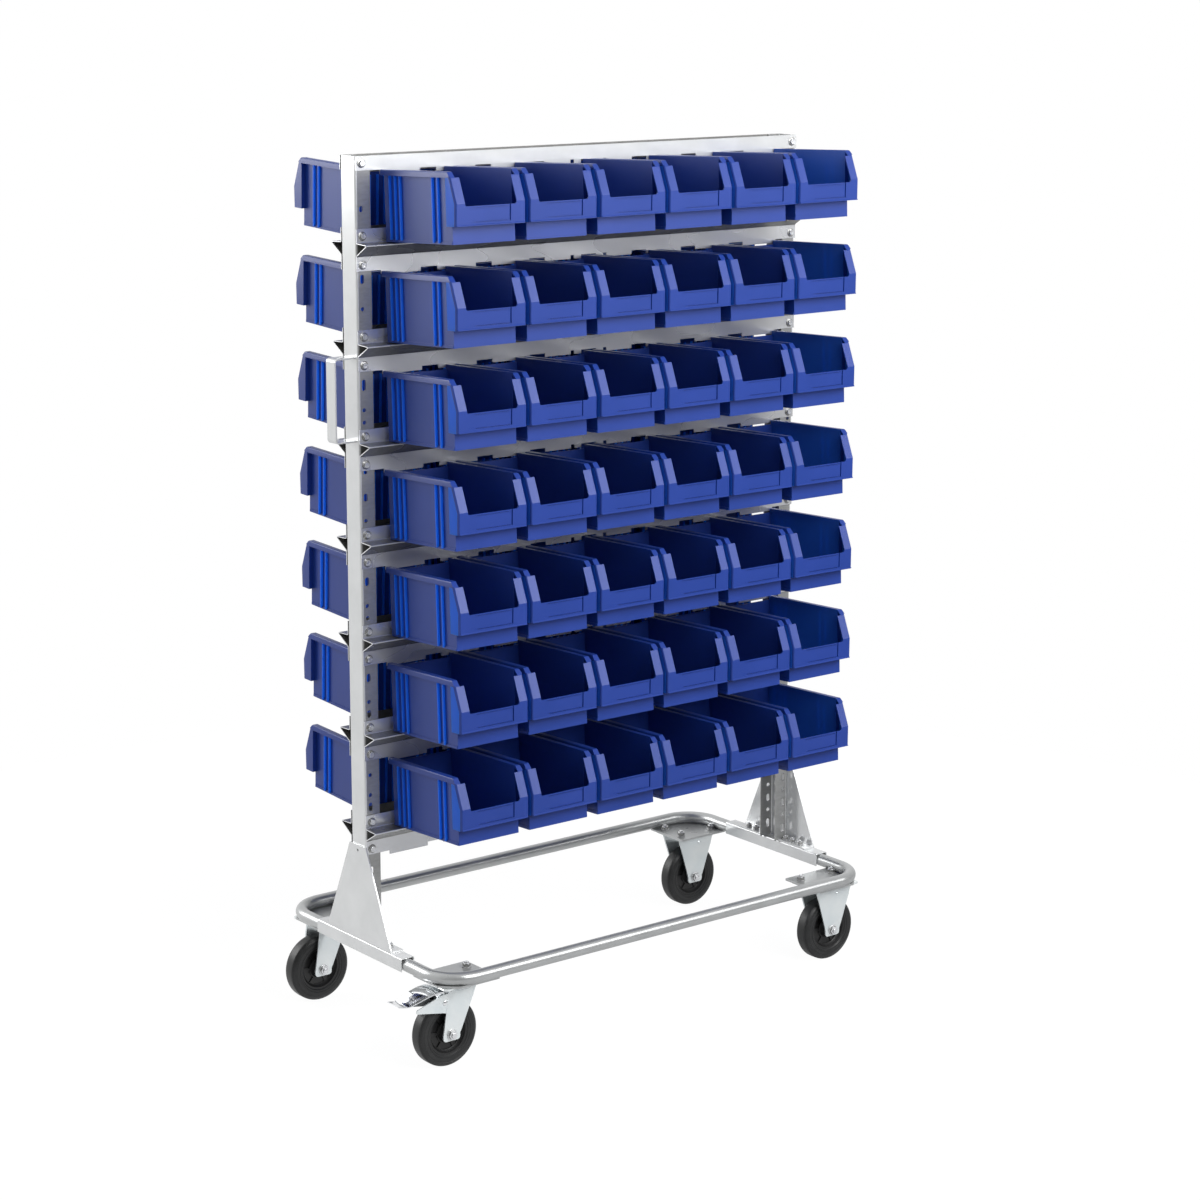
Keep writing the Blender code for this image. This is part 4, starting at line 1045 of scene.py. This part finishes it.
def add_castors(bright, bolts, polished, rubber, plastic):
    tyre = tyre_mesh()
    rim = rim_mesh()
    axle = axle_mesh()
    plate = swivel_plate_mesh()
    bracket = fixed_bracket_mesh()
    for name, side in SIDES:
        for end, side_x in ENDS:
            corner = name + "_" + end
            node = corner + "_castor"
            carrier = corner + "_swivel" if side_x < 0 else "rack"
            trail = TRAIL if side_x < 0 else 0
            centre = (side_x * CASTOR_X, side * CASTOR_Y, 0)
            hub = (side_x * CASTOR_X - trail, side * CASTOR_Y, WHEEL_RADIUS)
            if side_x < 0:
                stand_in(node + "_plate", plate, bright, centre)
                stand_in(node + "_fork", fork_mesh(side < 0), bright, centre, body=carrier)
            else:
                stand_in(node + "_bracket", bracket, bright, centre)
            stand_in(node + "_axle", axle, bolts, hub, body=carrier)
            piece(node + "_tyre", tyre, rubber, corner + "_wheel_body", (node + "_wheel",), hub)
            piece(node + "_rim", rim, plastic, corner + "_wheel_body", (), hub)
            if corner == "front_left":
                pivot = (-CASTOR_X - PEDAL_REACH, side * CASTOR_Y, PEDAL_HEIGHT)
                stand_in(corner + "_brake_pedal", pedal_mesh(), polished, pivot, body="brake")


def add_frame(sheet, rails, tube):
    upright = upright_mesh()
    bracket = bracket_mesh()
    channel = channel_mesh()
    for name, side in ENDS:
        turn = 0 if side < 0 else HALF
        place = (side * RACK_HALF, 0, 0)
        stand_in(name + "_upright", upright, sheet, place, turn)
        stand_in(name + "_foot_bracket", bracket, sheet, place, turn)
        stand_in(name + "_end_channel", channel, sheet, (side * BASE_HALF, 0, 0), turn)
    ring = base_tube_mesh()
    rail = bin_rail_mesh()
    top = notched([(0, 0), (0, -0.032)])
    for name, side in SIDES:
        turn = 0 if side < 0 else HALF
        stand_in(name + "_base_tube", ring, tube, (0, 0, 0), turn)
        stand_in(name + "_top_rail", top, sheet, (0, side * RAIL_FACE, RACK_HEIGHT), turn)
        for row in range(ROWS):
            place = (0, side * RAIL_FACE, RACK_HEIGHT - row * ROW_PITCH)
            stand_in(name + "_bin_rail_" + str(row + 1), rail, rails, place, turn)
        for end, side_x in ENDS:
            bolts = rail_bolts_mesh(side_x, side)
            piece(name + "_" + end + "_rail_bolts", bolts, rails, "rack")
        piece(name + "_base_nuts", base_fasteners(side), rails, "rack")
    grip = (-RACK_HALF, 0, RACK_HEIGHT - 0.348 - 0.075)
    stand_in("push_handle", handle_mesh(), sheet, grip)


# Stage, light and camera


def add_floor():
    """A white sweep under the rack: white to the camera and in reflections, with the shadow kept."""
    bm = bmesh.new()
    bmesh.ops.create_circle(bm, cap_ends=True, segments=96, radius=2.0)
    mesh = finished(bm)
    floor = linked("floor", mesh)
    material, tree, shader = new_material("pale_floor")
    feed(tree, shader, {"Base Color": (0.38, 0.38, 0.38, 1.0), "Roughness": 0.9})
    glow = add_node(tree, "Emission", {"Strength": 1.14})
    path = add_node(tree, "LightPath").outputs
    seen = add_node(tree, "Math", {0: path["Is Camera Ray"], 1: 0.84}, operation="MULTIPLY").outputs[0]
    behind = shade_along(tree, "Object", (-0.55, 0.83, 0), -0.8, 0.6, 0.14, 0.85)
    share = add_node(tree, "Math", {0: path["Is Glossy Ray"], 1: behind, 2: seen}, operation="MULTIPLY_ADD")
    mix_shaders(tree, share.outputs[0], shader, glow)
    mesh.materials.append(material)


def set_world():
    """White to the camera; in reflections white behind the rack, greyer in front of it and below."""
    world = bpy.data.worlds.new("studio")
    bpy.context.scene.world = world
    world.use_nodes = True
    tree = world.node_tree
    behind = shade_along(tree, "Generated", (-0.35, 0.88, 0.32), -0.45, 0.6, 0.26, 1.0)
    path = add_node(tree, "LightPath").outputs
    plain = mix_colours(tree, path["Is Glossy Ray"], (0.41, 0.415, 0.43, 1.0), behind)
    clear = add_node(tree, "Math", {0: path["Is Camera Ray"], 1: path["Is Transmission Ray"]}, operation="MAXIMUM")
    colour = mix_colours(tree, clear.outputs[0], plain, (1.0, 1.0, 1.0, 1.0))
    feed(tree, tree.nodes["Background"], {"Color": colour, "Strength": 1.0})


def add_lamp(name, place, target, width, height, power):
    lamp = bpy.data.lights.new(name, "AREA")
    set_all(lamp, {"shape": "RECTANGLE", "size": width, "size_y": height, "energy": power})
    obj = linked(name, lamp)
    obj.location = place
    obj.rotation_euler = (Vector(target) - Vector(place)).to_track_quat("-Z", "Y").to_euler()


def add_camera():
    """The photo's viewpoint, looking down a little, with the focal length in the photo's pixels."""
    focal_pixels = 2863.57
    image_side = 1200
    yaw = math.radians(37.908)
    pitch = math.radians(11.2066)
    camera = bpy.data.cameras.new("camera")
    camera.sensor_width = 36.0
    camera.lens = focal_pixels / image_side * camera.sensor_width
    camera.shift_y = -0.06
    camera.clip_end = 200
    obj = linked("camera", camera)
    obj.location = (-3.2034 + SHIFT_X, -4.1724, 1.9233)
    forward = Vector((math.sin(yaw) * math.cos(pitch), math.cos(yaw) * math.cos(pitch), -math.sin(pitch)))
    obj.rotation_euler = forward.to_track_quat("-Z", "Y").to_euler()
    bpy.context.scene.camera = obj


bpy.context.scene.view_settings.view_transform = "Standard"
sheet_material = zinc_sheet()
rail_material = rail_zinc()
add_frame(sheet_material, rail_material, tube_zinc())
add_bins(blue_plastic())
add_castors(bright_zinc(), rail_material, chrome(), tyre_rubber(), rim_plastic())
add_floor()
set_world()
add_lamp("side", (-2.6, 3.2, 2.25), (0, 0, 0.9), 2.6, 2.0, 86)
add_lamp("key", (0.3, -2.7, 2.45), (0, 0, 1.5), 2.0, 1.9, 100)
add_lamp("fill", (2.6, -3.2, 2.5), (0, 0, 1.1), 2.4, 1.8, 50)
add_camera()
